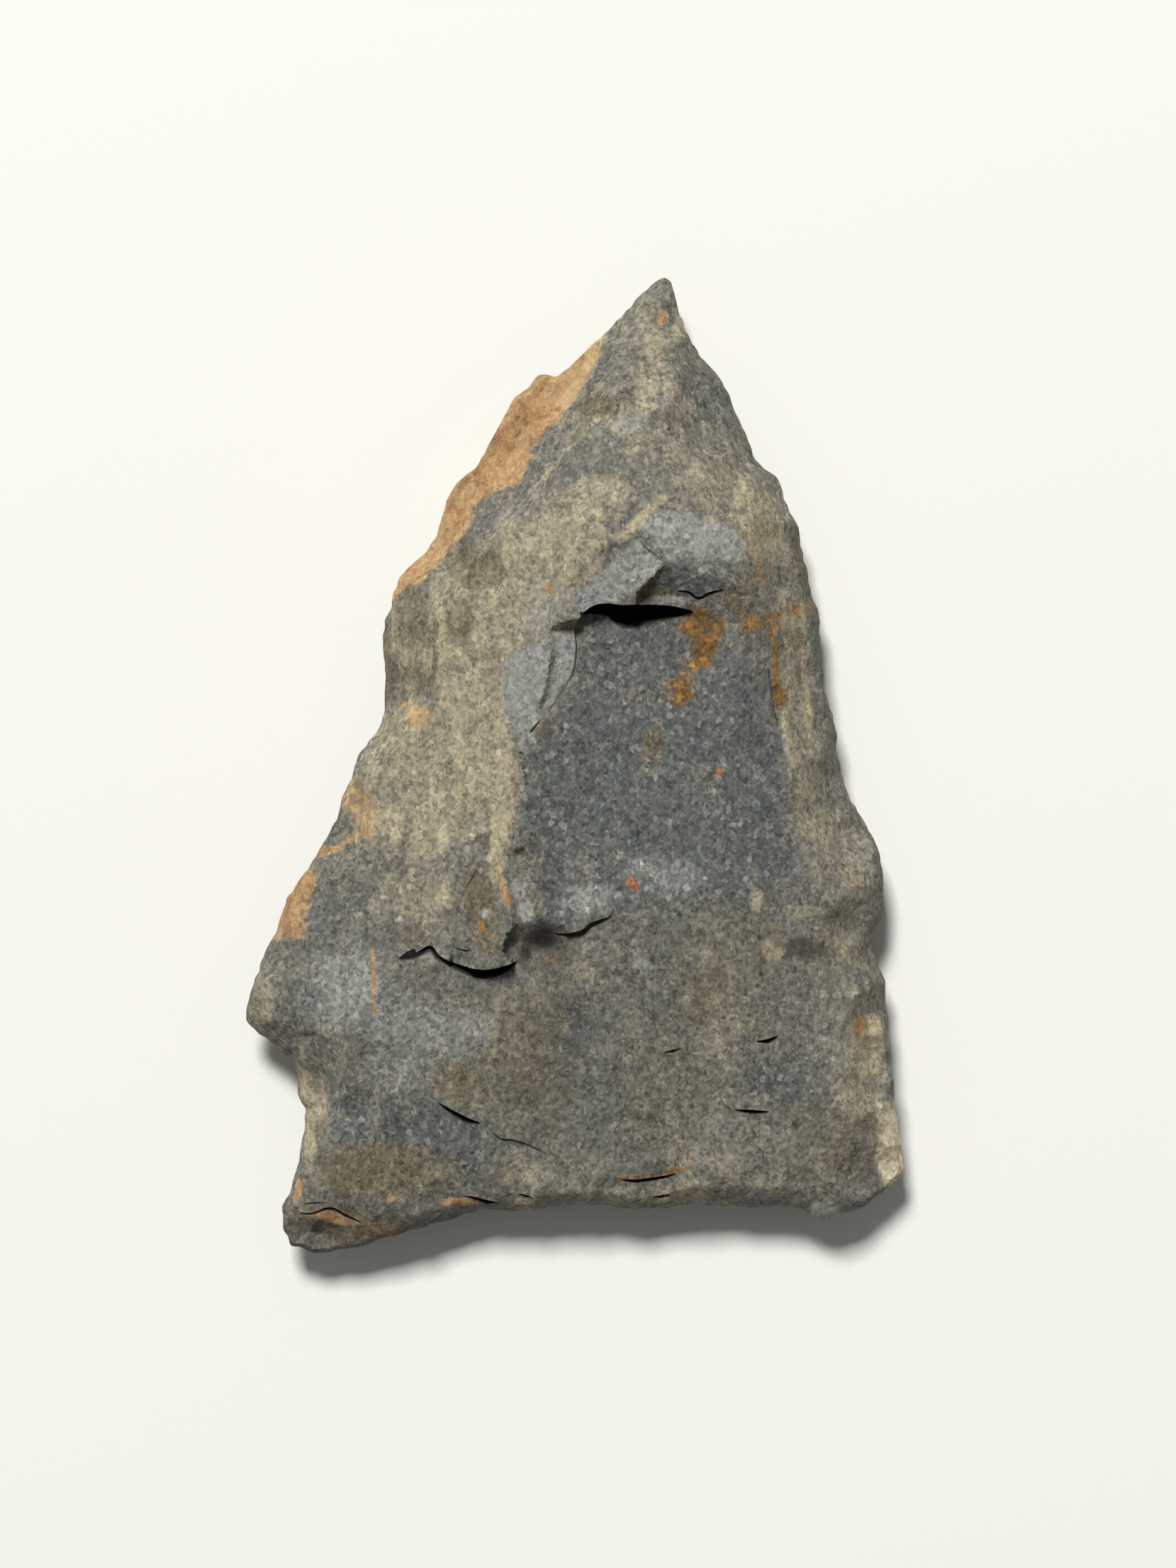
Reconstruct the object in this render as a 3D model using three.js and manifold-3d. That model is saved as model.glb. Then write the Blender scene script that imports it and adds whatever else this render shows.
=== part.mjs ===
// A small knapped stone projectile point, lying on its underside.
// One solid: a lens-shaped blank drawn from the worked outline, from which
// flake scars are struck off the upper face, the underside and the edges.
// Millimetres. +Y runs to the tip, +X to the right edge, +Z up.
// The origin is under the middle of the outline, on the resting surface.
import * as THREE from "three";
import Module from "manifold-3d";
import { mergeVertices } from "three/addons/utils/BufferGeometryUtils.js";

// ---- Driving dimensions --------------------------------------------------

const MARGIN_HEIGHT = 2.5; // the sharp edge runs about this far above the surface
const MARGIN_WAVE = 0.22; // the edge weaves up and down by this much
const MARGIN_WAVE_LENGTH = 9.5; // along the outline
const BLUNT_RISE = 0.45; // crushed strip just inside the edge
const BLUNT_RUN = 0.35;
const UPPER_RUN = 0.95; // distance in which the upper face climbs from the edge
const UNDER_RUN = 3.3;
const UNDER_BELLY = 0.35; // what the flat resting land takes off the underside
const CUTTER_TOP = 14; // flake cutters end clear above and below the stone
const CUTTER_BOTTOM = -6;
const EDGE_GUARD = 0.08; // no flake cuts nearer than this to the sharp edge
const FLOOR_RINGS = [1, 0.72, 0.4]; // mesh rings of a curved scar floor
const ELLIPSE_SIDES = 22;
const EDGE_STEPS = 58; // mesh rows from the base to the tip
const ROW_PLACES = [0, 0.02, 0.05, 0.095, 0.155, 0.23, 0.315, 0.405, 0.5]; // half a row

// Sections from the tip to the base: place along Y, crest place in X, crest height,
// half width of the face, and how far it drops from its crest to its sides.
const SECTIONS = [
  { y: 23.5, ridge: 4.1, crest: 3.4, half: 1.2, fall: 0.3 },
  { y: 19, ridge: 3.2, crest: 5.3, half: 4, fall: 1.6 },
  { y: 14, ridge: 2.6, crest: 7.1, half: 7, fall: 3.6 },
  { y: 9.4, ridge: 3.0, crest: 8.05, half: 9.5, fall: 3.6 },
  { y: 4, ridge: 2.2, crest: 7.3, half: 10.5, fall: 3 },
  { y: -3, ridge: 0.4, crest: 7.15, half: 12, fall: 2.2 },
  { y: -9, ridge: -0.5, crest: 6.8, half: 14, fall: 1.6 },
  { y: -15, ridge: 0.6, crest: 5.6, half: 14, fall: 1 },
  { y: -23.5, ridge: 0.8, crest: 4.2, half: 14, fall: 0.4 },
];

// The worked outline, in named stretches, clockwise from the tip.
const RIGHT_EDGE = [
  // the tip's right side, down to a small nick
  [4.2, 23], [4.65, 22.3], [5.4, 20.5], [5.85, 19.2], [6.7, 18.4], [7.5, 16.95],
  [8.3, 15], [8.45, 14.45],
  // the straight blade edge
  [9.25, 13.8], [9.5, 13.6], [9.8, 12.6], [10.5, 11.2], [10.75, 9.8], [11.2, 8.1],
  [11.5, 7.2], [11.55, 5.4], [11.8, 3.4], [12.4, 0.6], [12.6, -0.8],
  // the weak shoulder and the hollow under it
  [13.2, -2], [14, -3.4], [14.45, -4.7], [14.5, -6.2], [14.35, -7.2], [14, -8.1],
  [14.05, -8.8],
  // the stem side
  [14.55, -9.9], [14.7, -11.6], [14.8, -13.4], [14.72, -14.1], [15, -15],
  [15.05, -16], [15.35, -18.1], [15.5, -19],
];
const BASE_EDGE = [
  // the chipped right corner
  [15.5, -19], [15.3, -19.45], [14.45, -20.1], [13.5, -20.8], [12.3, -21.2],
  [11.9, -21.4], [11.4, -21.3], [10.3, -20.8],
  // the shallow hollow of the base
  [7.2, -20.8], [2.8, -20.9], [0, -20.7], [-2.5, -21], [-4.4, -21], [-7, -21.7],
  [-10.5, -22.8], [-12.2, -23],
];
const LEFT_EDGE = [
  // the left corner of the base
  [-12.2, -23], [-12.9, -22.7], [-13.4, -22.65], [-13.7, -21.8], [-13.8, -20.7],
  [-13.35, -20.05],
  // the side notch
  [-13, -18.8], [-12.75, -16.6], [-13.05, -15.5], [-13.05, -14.6], [-13.3, -13.9],
  [-13.75, -13.65], [-14.5, -12.9],
  // the barbed shoulder
  [-15, -12.6], [-15.45, -12], [-15.5, -11.5], [-15.1, -10.2], [-14.7, -8.9],
  // the lower blade edge
  [-13.8, -6.8], [-13.65, -6.2], [-12.7, -4.95], [-12.1, -4.1], [-11.2, -2.55],
  [-10.95, -1.5], [-10.35, 0.35], [-9.3, 1.7], [-9, 2.8],
  // the upright middle
  [-9, 4.8], [-8.95, 6.9], [-8.6, 7.9], [-8.25, 8.9],
  // the scalloped upper edge and the tip's left side
  [-7.3, 9.8], [-6.45, 10.95], [-6.15, 12.3], [-5.5, 13.35], [-4.3, 14.45],
  [-3.55, 16], [-2.9, 17.3], [-1.8, 18.3], [-1.1, 18.4], [-0.5, 18.6], [0.9, 19.8],
  [2.1, 21.05], [3.1, 22.3], [3.9, 22.8], [4.2, 23],
];

// Flake scars. A floor passes through `at` [x, y, z] and rises by `rise` [per mm
// of X, per mm of Y]. Its reach is either an ellipse of half lengths `span`,
// turned by `turn` degrees, round which the floor curves away from the stone by
// `dish`, or an `outline` of points, in which it may curve by `cup` per mm
// squared. Where a floor is still inside the stone at its outline, the scar ends
// in a step, as a flake that snapped off short leaves it.
const UPPER_SCARS = [
  {
    name: "long scar with the stepped head",
    at: [3.6, 0.5, 6.2], rise: [0.02, 0], cup: [0.014, 0.0014],
    outline: [
      [0.35, 6.98], [0.8, 7.3], [1.4, 7.44], [2.3, 7.36], [3.4, 7.4], [4.5, 7.33],
      [5.5, 7.1], [6.4, 7], [7.5, 6.8], [8.4, 6.2], [8.9, 4.7], [9.1, 3], [9.5, 1.5],
      [9.9, 0], [10.6, -4], [9.5, -10], [1.5, -12], [-1.6, -9], [-1.9, -4], [-2.2, -1],
      [-2.6, 0.9], [-1.75, 1.95], [-1.15, 2.65], [-0.45, 3.7], [-0.05, 4.5],
      [0.05, 5.6], [0, 6.3],
    ],
  },
  {
    name: "slope down into the long scar",
    at: [-1.9, -2.5, 6.55], rise: [-0.3, 0.03], cup: [0.02, 0],
    outline: [
      [-4.6, 0.4], [-2.7, 1], [-0.8, 0.4], [-0.4, -4], [-0.6, -8], [-1.9, -7.8],
      [-3, -6.6], [-3.5, -5], [-4.2, -3],
    ],
  },
  {
    name: "stepped thinning of the base",
    at: [0, -14, 4.95], rise: [0, 0.17],
    outline: [
      [-17, -9.4], [-9.6, -9.2], [-8.25, -9], [-7.4, -8.75], [-6.75, -8.42],
      [-6.35, -8.85], [-5.9, -9.1], [-5.4, -9.3], [-4.5, -9.5], [-3.7, -9.45],
      [-2.7, -9.15], [-2.3, -8.4], [-1.8, -7.9], [-0.95, -7.85], [-0.2, -7.8],
      [0.35, -7.65], [0.7, -7.35], [1.6, -7.05], [5, -2], [9, 1], [17, 1], [17, -25],
      [-17, -25],
    ],
  },
  {
    name: "hollow at the tongue's right corner",
    at: [-1.65, -8.4, 5.45], rise: [0, 0.12], span: [1.45, 1.25], turn: 5, dish: 0.7,
  },
  {
    name: "steep facet over the step",
    at: [5.6, 8.6, 7.36], rise: [-0.05, 0.7],
    outline: [
      [2.9, 7.8], [3.1, 8.15], [3.7, 8.75], [4.2, 9.35], [4.5, 9.9], [7, 9.9],
      [8.9, 9.3], [9.2, 8.4], [8.5, 7.7], [6.9, 7.8], [5.6, 7.6], [4.4, 7.75],
    ],
  },
  {
    name: "ledge on the step's lip",
    at: [4.4, 7.6, 6.93], rise: [-0.03, 0.12],
    outline: [
      [2.7, 6.9], [2.9, 8.1], [4.4, 7.95], [5.7, 7.85], [5.8, 6.7], [4, 6.6],
    ],
  },
  {
    name: "apron east of the step",
    at: [6.8, 7.4, 6.62], rise: [0.04, 0.45],
    outline: [[5, 6.5], [5.3, 8], [6.9, 8.3], [8.8, 8.4], [9.2, 6.4], [6.8, 6.3]],
  },
  {
    name: "pale facet beside the steep one",
    at: [1.6, 8.8, 7.58], rise: [-0.02, 0.13],
    outline: [
      [-0.9, 6.7], [-0.7, 8.1], [0.8, 9.6], [2.7, 11], [3.8, 10.5], [4.3, 9.4],
      [3.3, 8.6], [2.9, 8], [2.4, 7.3], [0.6, 6.7],
    ],
  },
  {
    name: "pale crest facet",
    at: [5.6, 10.6, 7.8], rise: [-0.06, -0.16],
    outline: [
      [2.7, 10.4], [3.3, 12], [5.6, 12.6], [8.2, 11.4], [8.2, 9.6], [7, 9.2],
      [4.9, 9.2], [3.9, 9.2],
    ],
  },
  {
    name: "weathered bevel of the upper left edge",
    at: [-4.1, 14.5, 2.75], rise: [0.62, -0.49],
    outline: [
      [2.6, 21.3], [2.3, 19.4], [1.7, 17.3], [0.3, 15], [-0.7, 13.5], [-1.3, 12.3],
      [-3.1, 11.1], [-3.7, 10.2], [-4.9, 8.9], [-7.4, 7.6], [-8.9, 8.6], [-7.2, 10.6],
      [-6.5, 13.2], [-4.4, 15.6], [-2.4, 18.7], [-0.2, 19.8],
    ],
  },
  {
    name: "broad left face",
    at: [-5.5, 2, 5.45], rise: [0.32, -0.03], cup: [0.006, 0],
    outline: [
      [-9.5, 9.4], [-7, 11], [-3.6, 13.2], [-0.6, 12.4], [-0.3, 9.4], [-0.9, 6.6],
      [-0.9, 5.4], [-1.2, 3.4], [-2.3, 1.6], [-2.2, -1], [-2.6, -4.2], [-2.8, -7.6],
      [-4.4, -9.7], [-5.7, -9.2], [-9, -9.2], [-16, -10.5], [-14, -3], [-11, 3],
    ],
  },
  {
    name: "pale facet west of the long scar",
    at: [-0.5, 4.6, 6.52], rise: [-0.18, 0.12],
    outline: [
      [-1.3, 6.4], [0.6, 7], [0.6, 4.4], [-0.2, 3.4], [-1.6, 1.8], [-1.9, 2.2],
      [-1.5, 3.5], [-1.2, 5],
    ],
  },
  {
    name: "second pale facet",
    at: [-2.5, 3.2, 6.25], rise: [0.3, 0.05],
    outline: [
      [-3.3, 5.6], [-2, 4.8], [-1.5, 3], [-1.2, 2.2], [-1.9, 1.6], [-2, 0.6],
      [-2.8, 0.6], [-3.4, 1.6], [-4.1, 3.2], [-4, 4.2],
    ],
  },
  {
    name: "left edge flake",
    at: [-8.1, 6, 3.55], rise: [0.5, 0.02], span: [2.3, 3.5], turn: 0, dish: 0.7,
  },
  {
    name: "round flake under the bevel",
    at: [-4.7, 9.2, 5.05], rise: [0.3, -0.14], span: [1.9, 1.55], turn: -12, dish: 0.6,
  },
  {
    name: "lower left edge flake",
    at: [-11, -3.4, 3.6], rise: [0.42, -0.2], span: [2.2, 3.4], turn: -32, dish: 0.7,
  },
  {
    name: "left shoulder flake",
    at: [-12.2, -9.8, 4.3], rise: [0.26, -0.14], span: [4.4, 4.6], turn: -30, dish: 0.6,
  },
  {
    name: "tongue's left facet",
    at: [-5.3, -6.6, 5.7], rise: [0.42, 0.02],
    outline: [
      [-4.2, -4.2], [-4.5, -6], [-4.9, -9.6], [-5.9, -9.3], [-5.6, -6.8], [-4.9, -5],
    ],
  },
  {
    name: "tongue's right facet",
    at: [-2.6, -5.9, 6.3], rise: [-0.2, 0.03],
    outline: [
      [-3.9, -4.2], [-3.4, -5.6], [-2.9, -7.8], [-1.9, -8.2], [-1.5, -6], [-2.2, -3.6],
    ],
  },
  {
    name: "steep right blade flake, upper",
    at: [10.3, 9.2, 3.9], rise: [-0.95, -0.2], span: [2, 4.6], turn: 13, dish: 0.7,
  },
  {
    name: "steep right blade flake, middle",
    at: [11, 3.2, 3.9], rise: [-0.85, -0.1], span: [2, 3.8], turn: 6, dish: 0.7,
  },
  {
    name: "steep right blade flake, lower",
    at: [12.1, -1.6, 3.6], rise: [-0.8, -0.16], span: [2.1, 3.4], turn: 14, dish: 0.7,
  },
  {
    name: "dark flake right of the tip",
    at: [6.1, 17, 4.1], rise: [-0.6, -0.2], span: [2.1, 2.6], turn: 24, dish: 0.6,
  },
  {
    name: "small flake under the tip",
    at: [0.9, 16.7, 4.95], rise: [0.3, 0.05], span: [1.2, 0.9], turn: 10, dish: 0.35,
  },
  {
    name: "tip flake",
    at: [3.7, 20, 4.25], rise: [-0.06, -0.3], span: [2.6, 3.3], turn: -6, dish: 0.5,
  },
  {
    name: "notch flake",
    at: [-12.2, -15.9, 3.5], rise: [0.5, 0], span: [2.4, 3.5], turn: 6, dish: 1.1,
  },
  {
    name: "diagonal flake over the notch",
    at: [-9.4, -14.9, 4.5], rise: [0.06, 0.18], span: [3.8, 1.9], turn: 38, dish: 0.45,
  },
  {
    name: "olive flake",
    at: [-4.8, -15, 4.72], rise: [-0.05, 0.2], span: [1.9, 1.25], turn: -28, dish: 0.25,
  },
  {
    name: "small flake at the base",
    at: [-2.4, -18.9, 3.98], rise: [0.03, 0.24], span: [1.35, 1.1], turn: 0, dish: 0.2,
  },
  {
    name: "hollow under the right shoulder",
    at: [13.2, -8.3, 3.9], rise: [-0.45, 0], span: [2, 2.4], turn: 0, dish: 0.7,
  },
  {
    name: "right shoulder flake",
    at: [13, -4.6, 3.9], rise: [-0.5, -0.15], span: [1.9, 2.5], turn: 15, dish: 0.6,
  },
  {
    name: "right stem flake",
    at: [13.9, -13.6, 3.6], rise: [-0.45, 0.05], span: [1.7, 2.8], turn: 0, dish: 0.6,
  },
  {
    name: "right corner flake",
    at: [13.8, -18.4, 3.3], rise: [-0.36, 0.28], span: [2, 2.5], turn: 28, dish: 0.5,
  },
  {
    name: "left corner bevel of the base",
    at: [-11, -21.7, 3.1], rise: [0.12, 0.6], span: [5.2, 1.6], turn: -14, dish: 0.4,
  },
];

const UNDER_SCARS = [
  {
    name: "thinning of the base, underside",
    at: [0.5, -17, 1.1], rise: [0, -0.17],
    outline: [
      [-13.4, -10.8], [-2, -10.2], [3.5, -10.4], [14.6, -11.4], [17, -23.4], [-16, -23.4],
    ],
  },
  {
    name: "underside flake from the upper left edge",
    at: [-1.7, 12.2, 1.3], rise: [-0.235, 0.186], span: [4.4, 4.8], turn: -38, dish: 0.9,
  },
  {
    name: "underside flake from the middle of the left edge",
    at: [-5.5, 4.4, 1.35], rise: [-0.3, 0], span: [4.6, 5.4], turn: 0, dish: 0.9,
  },
  {
    name: "underside flake from the lower left edge",
    at: [-8.4, -4.6, 1.3], rise: [-0.27, 0.13], span: [4.8, 5.2], turn: -26, dish: 0.9,
  },
  {
    name: "underside flake from the left shoulder",
    at: [-11.4, -11.2, 1.4], rise: [-0.3, 0], span: [5, 3.8], turn: 0, dish: 0.9,
  },
  {
    name: "underside flake from the tip",
    at: [3.6, 17.4, 1.65], rise: [0.04, 0.14], span: [3.1, 6], turn: -12, dish: 0.8,
  },
  {
    name: "underside flake from the upper right edge",
    at: [7.2, 9.4, 1.35], rise: [0.29, 0.08], span: [4.2, 5.2], turn: 14, dish: 0.9,
  },
  {
    name: "underside flake from the lower right edge",
    at: [8.7, 1.4, 1.3], rise: [0.3, 0.03], span: [4.6, 4.8], turn: 4, dish: 0.9,
  },
  {
    name: "underside flake from the right shoulder",
    at: [10.8, -6.4, 1.3], rise: [0.3, 0], span: [4.8, 4.9], turn: 0, dish: 0.9,
  },
  {
    name: "underside flake from the right stem edge",
    at: [11.6, -14, 1.45], rise: [0.27, -0.04], span: [4.4, 4.2], turn: 0, dish: 0.9,
  },
  {
    name: "underside notch flake",
    at: [-10.6, -16.8, 1.6], rise: [-0.28, 0], span: [3.4, 3.2], turn: 0, dish: 0.8,
  },
];

// ---- The outline ---------------------------------------------------------

const span = (a, b) => Math.hypot(b[0] - a[0], b[1] - a[1]);

const between = (a, b, t) => [a[0] + (b[0] - a[0]) * t, a[1] + (b[1] - a[1]) * t];

// Halves the longest stretch of a line until it has the wanted number of steps.
function subdivide(points, steps) {
  const line = points.map((p) => [...p]);
  while (line.length <= steps) {
    let longest = 0;
    for (let i = 1; i < line.length - 1; i++) {
      if (span(line[i], line[i + 1]) > span(line[longest], line[longest + 1])) longest = i;
    }
    line.splice(longest + 1, 0, between(line[longest], line[longest + 1], 0.5));
  }
  return line;
}

const OUTLINE = [
  ...RIGHT_EDGE.slice(0, -1),
  ...BASE_EDGE.slice(0, -1),
  ...LEFT_EDGE.slice(0, -1),
];

// How far a point lies inside the outline, and how far along it is the nearest edge.
function edgeDistance(x, y) {
  let best = Infinity;
  let place = 0;
  let run = 0;
  OUTLINE.forEach((a, i) => {
    const b = OUTLINE[(i + 1) % OUTLINE.length];
    const length = span(a, b);
    const along = ((x - a[0]) * (b[0] - a[0]) + (y - a[1]) * (b[1] - a[1])) / length ** 2;
    const t = Math.min(1, Math.max(0, along));
    const d = span([x, y], between(a, b, t));
    if (d < best) {
      best = d;
      place = run + t * length;
    }
    run += length;
  });
  return { d: best, place };
}

// ---- Heights -------------------------------------------------------------

// The section values at one place along the length, eased between stations.
function sectionAt(y) {
  const last = SECTIONS.length - 1;
  let i = SECTIONS.findIndex((s) => s.y <= y);
  if (i < 0) i = last;
  if (i === 0) i = 1;
  const upper = SECTIONS[i - 1];
  const lower = SECTIONS[i];
  const t = Math.min(1, Math.max(0, (upper.y - y) / (upper.y - lower.y)));
  const mix = (key) => upper[key] + (lower[key] - upper[key]) * t;
  return { ridge: mix("ridge"), crest: mix("crest"), half: mix("half"), fall: mix("fall") };
}

function marginHeight(place) {
  const turn = (2 * Math.PI * place) / MARGIN_WAVE_LENGTH;
  return MARGIN_HEIGHT + MARGIN_WAVE * Math.sin(turn);
}

function upperBlank(x, y) {
  const { ridge, crest, half, fall } = sectionAt(y);
  const face = crest - fall * ((x - ridge) / half) ** 2;
  const { d, place } = edgeDistance(x, y);
  const edge = marginHeight(place) + BLUNT_RISE * (1 - Math.exp(-d / BLUNT_RUN));
  return edge + (face - edge) * (1 - Math.exp(-d / UPPER_RUN));
}

function underBlank(x, y) {
  const { d, place } = edgeDistance(x, y);
  const edge = marginHeight(place);
  const raw = edge - (edge + UNDER_BELLY) * (1 - Math.exp(-d / UNDER_RUN));
  return Math.max(0, raw);
}

// ---- Solids --------------------------------------------------------------

function geometryFrom(positions) {
  const geometry = new THREE.BufferGeometry();
  geometry.setAttribute("position", new THREE.Float32BufferAttribute(positions, 3));
  return mergeVertices(geometry, 1e-4);
}

// Adds a four-sided patch as two triangles, leaving out any that shrink to a line.
function addPatch(positions, a, b, c, d) {
  const same = (p, q) => p.every((v, i) => Math.abs(v - q[i]) < 1e-6);
  for (const corners of [[a, b, c], [a, c, d]]) {
    const [p, q, r] = corners;
    if (same(p, q) || same(q, r) || same(r, p)) continue;
    positions.push(...p, ...q, ...r);
  }
}

// Adds one grid cell. The two halves of a row are split along opposite diagonals,
// so that no triangle lies wholly on the rim. `down` turns the cell over.
function addMirrored(positions, grid, i, j, leftHalf, down = false) {
  let corners = [grid[j][i], grid[j][i + 1], grid[j + 1][i + 1], grid[j + 1][i]];
  if (!leftHalf) corners = [...corners.slice(1), corners[0]];
  const [a, b, c, d] = corners;
  if (down) addPatch(positions, a, d, c, b);
  else addPatch(positions, a, b, c, d);
}

// The blank: a grid between the two edges, bent to the hollow of the base.
function blankGeometry() {
  const rows = EDGE_STEPS;
  const places = [...ROW_PLACES, ...ROW_PLACES.slice(0, -1).map((u) => 1 - u).reverse()];
  const columns = places.length - 1;
  const left = subdivide(LEFT_EDGE, rows);
  const right = subdivide(RIGHT_EDGE, rows).reverse();
  const base = subdivide(BASE_EDGE, columns).reverse();
  const grid = left.map((start, j) => {
    const fade = Math.max(0, 1 - j / (0.4 * rows)) ** 2;
    return places.map((u, i) => {
      const straight = between(start, right[j], u);
      const chord = between(left[0], right[0], u);
      return [
        straight[0] + fade * (base[i][0] - chord[0]),
        straight[1] + fade * (base[i][1] - chord[1]),
      ];
    });
  });
  const onRim = (i, j) => i === 0 || j === 0 || i === columns || j === rows;
  const lift = (height) =>
    grid.map((row, j) =>
      row.map(([x, y], i) => {
        const rim = marginHeight(edgeDistance(x, y).place);
        return [x, y, onRim(i, j) ? rim : height(x, y)];
      }),
    );
  const upper = lift(upperBlank);
  const under = lift(underBlank);
  const positions = [];
  for (let j = 0; j < rows; j++) {
    for (let i = 0; i < columns; i++) {
      addMirrored(positions, upper, i, j, 2 * i < columns);
      addMirrored(positions, under, i, j, 2 * i < columns, true);
    }
  }
  return geometryFrom(positions);
}

// A flake's floor height. The worked edge itself is left standing.
function scarFloor(scar, x, y, side) {
  const dx = x - scar.at[0];
  const dy = y - scar.at[1];
  const plane = scar.at[2] + scar.rise[0] * dx + scar.rise[1] * dy;
  let bow = 0;
  if (scar.cup) bow = scar.cup[0] * dx ** 2 + scar.cup[1] * dy ** 2;
  if (scar.dish) {
    const angle = THREE.MathUtils.degToRad(scar.turn);
    const u = dx * Math.cos(angle) + dy * Math.sin(angle);
    const v = dy * Math.cos(angle) - dx * Math.sin(angle);
    bow = scar.dish * ((u / scar.span[0]) ** 2 + (v / scar.span[1]) ** 2);
  }
  const clear = MARGIN_HEIGHT + side * (MARGIN_WAVE + EDGE_GUARD);
  return side > 0 ? Math.max(clear, plane + bow) : Math.min(clear, plane - bow);
}

function ellipse({ at, span: [a, b], turn }) {
  const angle = THREE.MathUtils.degToRad(turn);
  return Array.from({ length: ELLIPSE_SIDES }, (_, i) => {
    const t = (2 * Math.PI * i) / ELLIPSE_SIDES;
    const u = a * Math.cos(t);
    const v = b * Math.sin(t);
    return [
      at[0] + u * Math.cos(angle) - v * Math.sin(angle),
      at[1] + u * Math.sin(angle) + v * Math.cos(angle),
    ];
  });
}

// The solid that one flake takes away: its floor, a wall round its outline and
// a flat end clear of the stone. `side` is 1 on the upper face, -1 underneath.
function scarGeometry(scar, side) {
  const rim = scar.outline ?? ellipse(scar);
  const shrinks = scar.cup || scar.dish ? FLOOR_RINGS : [1];
  const middle = rim
    .reduce((sum, p) => [sum[0] + p[0], sum[1] + p[1]], [0, 0])
    .map((v) => v / rim.length);
  const height = ([x, y]) => scarFloor(scar, x, y, side);
  const rings = shrinks.map((k) => rim.map((p) => between(middle, p, k)));
  const floors = rings.map((ring) => ring.map((p) => [...p, height(p)]));
  const peak = [...middle, height(middle)];
  const end = side > 0 ? CUTTER_TOP : CUTTER_BOTTOM;
  const cap = rim.map((p) => [...p, end]);
  const capMiddle = [...middle, end];
  const positions = [];
  const inner = floors[floors.length - 1];
  rim.forEach((_, i) => {
    const k = (i + 1) % rim.length;
    addPatch(positions, cap[i], cap[k], floors[0][k], floors[0][i]);
    for (let r = 0; r < floors.length - 1; r++) {
      addPatch(positions, floors[r][i], floors[r][k], floors[r + 1][k], floors[r + 1][i]);
    }
    positions.push(...inner[i], ...inner[k], ...peak);
    positions.push(...cap[k], ...cap[i], ...capMiddle);
  });
  return geometryFrom(positions);
}

// ---- Striking the flakes -------------------------------------------------

const wasm = await Module();
wasm.setup();

function solidOf(geometry) {
  const vertProperties = geometry.attributes.position.array;
  const triVerts = new Uint32Array(geometry.index.array);
  const made = new wasm.Manifold(new wasm.Mesh({ numProp: 3, vertProperties, triVerts }));
  if (made.volume() > 0) return made;
  for (let i = 0; i < triVerts.length; i += 3) {
    [triVerts[i + 1], triVerts[i + 2]] = [triVerts[i + 2], triVerts[i + 1]];
  }
  return new wasm.Manifold(new wasm.Mesh({ numProp: 3, vertProperties, triVerts }));
}

function stoneGeometry() {
  let stone = solidOf(blankGeometry());
  const strike = (scar, side) => {
    stone = stone.subtract(solidOf(scarGeometry(scar, side)));
  };
  UPPER_SCARS.forEach((scar) => strike(scar, 1));
  UNDER_SCARS.forEach((scar) => strike(scar, -1));
  const { vertProperties, triVerts } = stone.getMesh();
  const geometry = new THREE.BufferGeometry();
  geometry.setAttribute("position", new THREE.BufferAttribute(vertProperties, 3));
  geometry.setIndex(new THREE.BufferAttribute(triVerts, 1));
  geometry.computeVertexNormals();
  return geometry;
}

// ---- The part ------------------------------------------------------------

const weatheredStone = new THREE.MeshStandardMaterial({
  name: "weathered_stone",
  color: 0x7d7a6c,
  roughness: 0.88,
  metalness: 0,
  flatShading: true,
});

const point = new THREE.Mesh(stoneGeometry(), weatheredStone);
point.name = "stone_point";

const part = new THREE.Group();
part.add(point);

export default part;
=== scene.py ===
"""A small knapped stone projectile point, lying on its underside on a pale bench.

The stone is drawn in millimetres in the part's own frame: +Y to the tip, +X to the
right edge, +Z up from the bench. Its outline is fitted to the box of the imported
solid, its faces are worked out as a lens-shaped blank with flake scars struck off,
and cracks and steps are cut in as real openings with undercut lips.
"""

from __future__ import annotations

import logging
import math
from dataclasses import dataclass, field
from enum import Enum
from functools import lru_cache
from typing import Any, Sequence

import bpy
import numpy as np
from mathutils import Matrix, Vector
from mathutils.geometry import delaunay_2d_cdt
from mathutils.kdtree import KDTree


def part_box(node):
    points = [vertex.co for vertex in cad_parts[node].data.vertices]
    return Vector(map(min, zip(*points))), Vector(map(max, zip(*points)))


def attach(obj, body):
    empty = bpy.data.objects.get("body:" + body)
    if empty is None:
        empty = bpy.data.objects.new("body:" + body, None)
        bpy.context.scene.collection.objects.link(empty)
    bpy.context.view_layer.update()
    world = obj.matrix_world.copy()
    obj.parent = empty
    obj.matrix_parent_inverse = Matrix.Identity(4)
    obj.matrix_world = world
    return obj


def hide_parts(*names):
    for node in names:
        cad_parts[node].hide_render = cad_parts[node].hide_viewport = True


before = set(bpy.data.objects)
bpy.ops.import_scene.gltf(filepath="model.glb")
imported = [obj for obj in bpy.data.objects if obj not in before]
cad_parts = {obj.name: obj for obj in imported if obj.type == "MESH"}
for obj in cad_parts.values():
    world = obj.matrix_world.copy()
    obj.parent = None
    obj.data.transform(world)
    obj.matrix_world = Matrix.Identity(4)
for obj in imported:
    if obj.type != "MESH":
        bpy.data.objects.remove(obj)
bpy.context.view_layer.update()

NODE = "stone_point"
BODY = "root"
MM = 0.001
log = logging.getLogger("stone_point")

Pair = tuple[float, float]
Line = tuple[Pair, ...]
Triple = tuple[float, float, float]
Colour = tuple[float, float, float, float]


# ---- Numbers shared by the shapes -----------------------------------------


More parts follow.
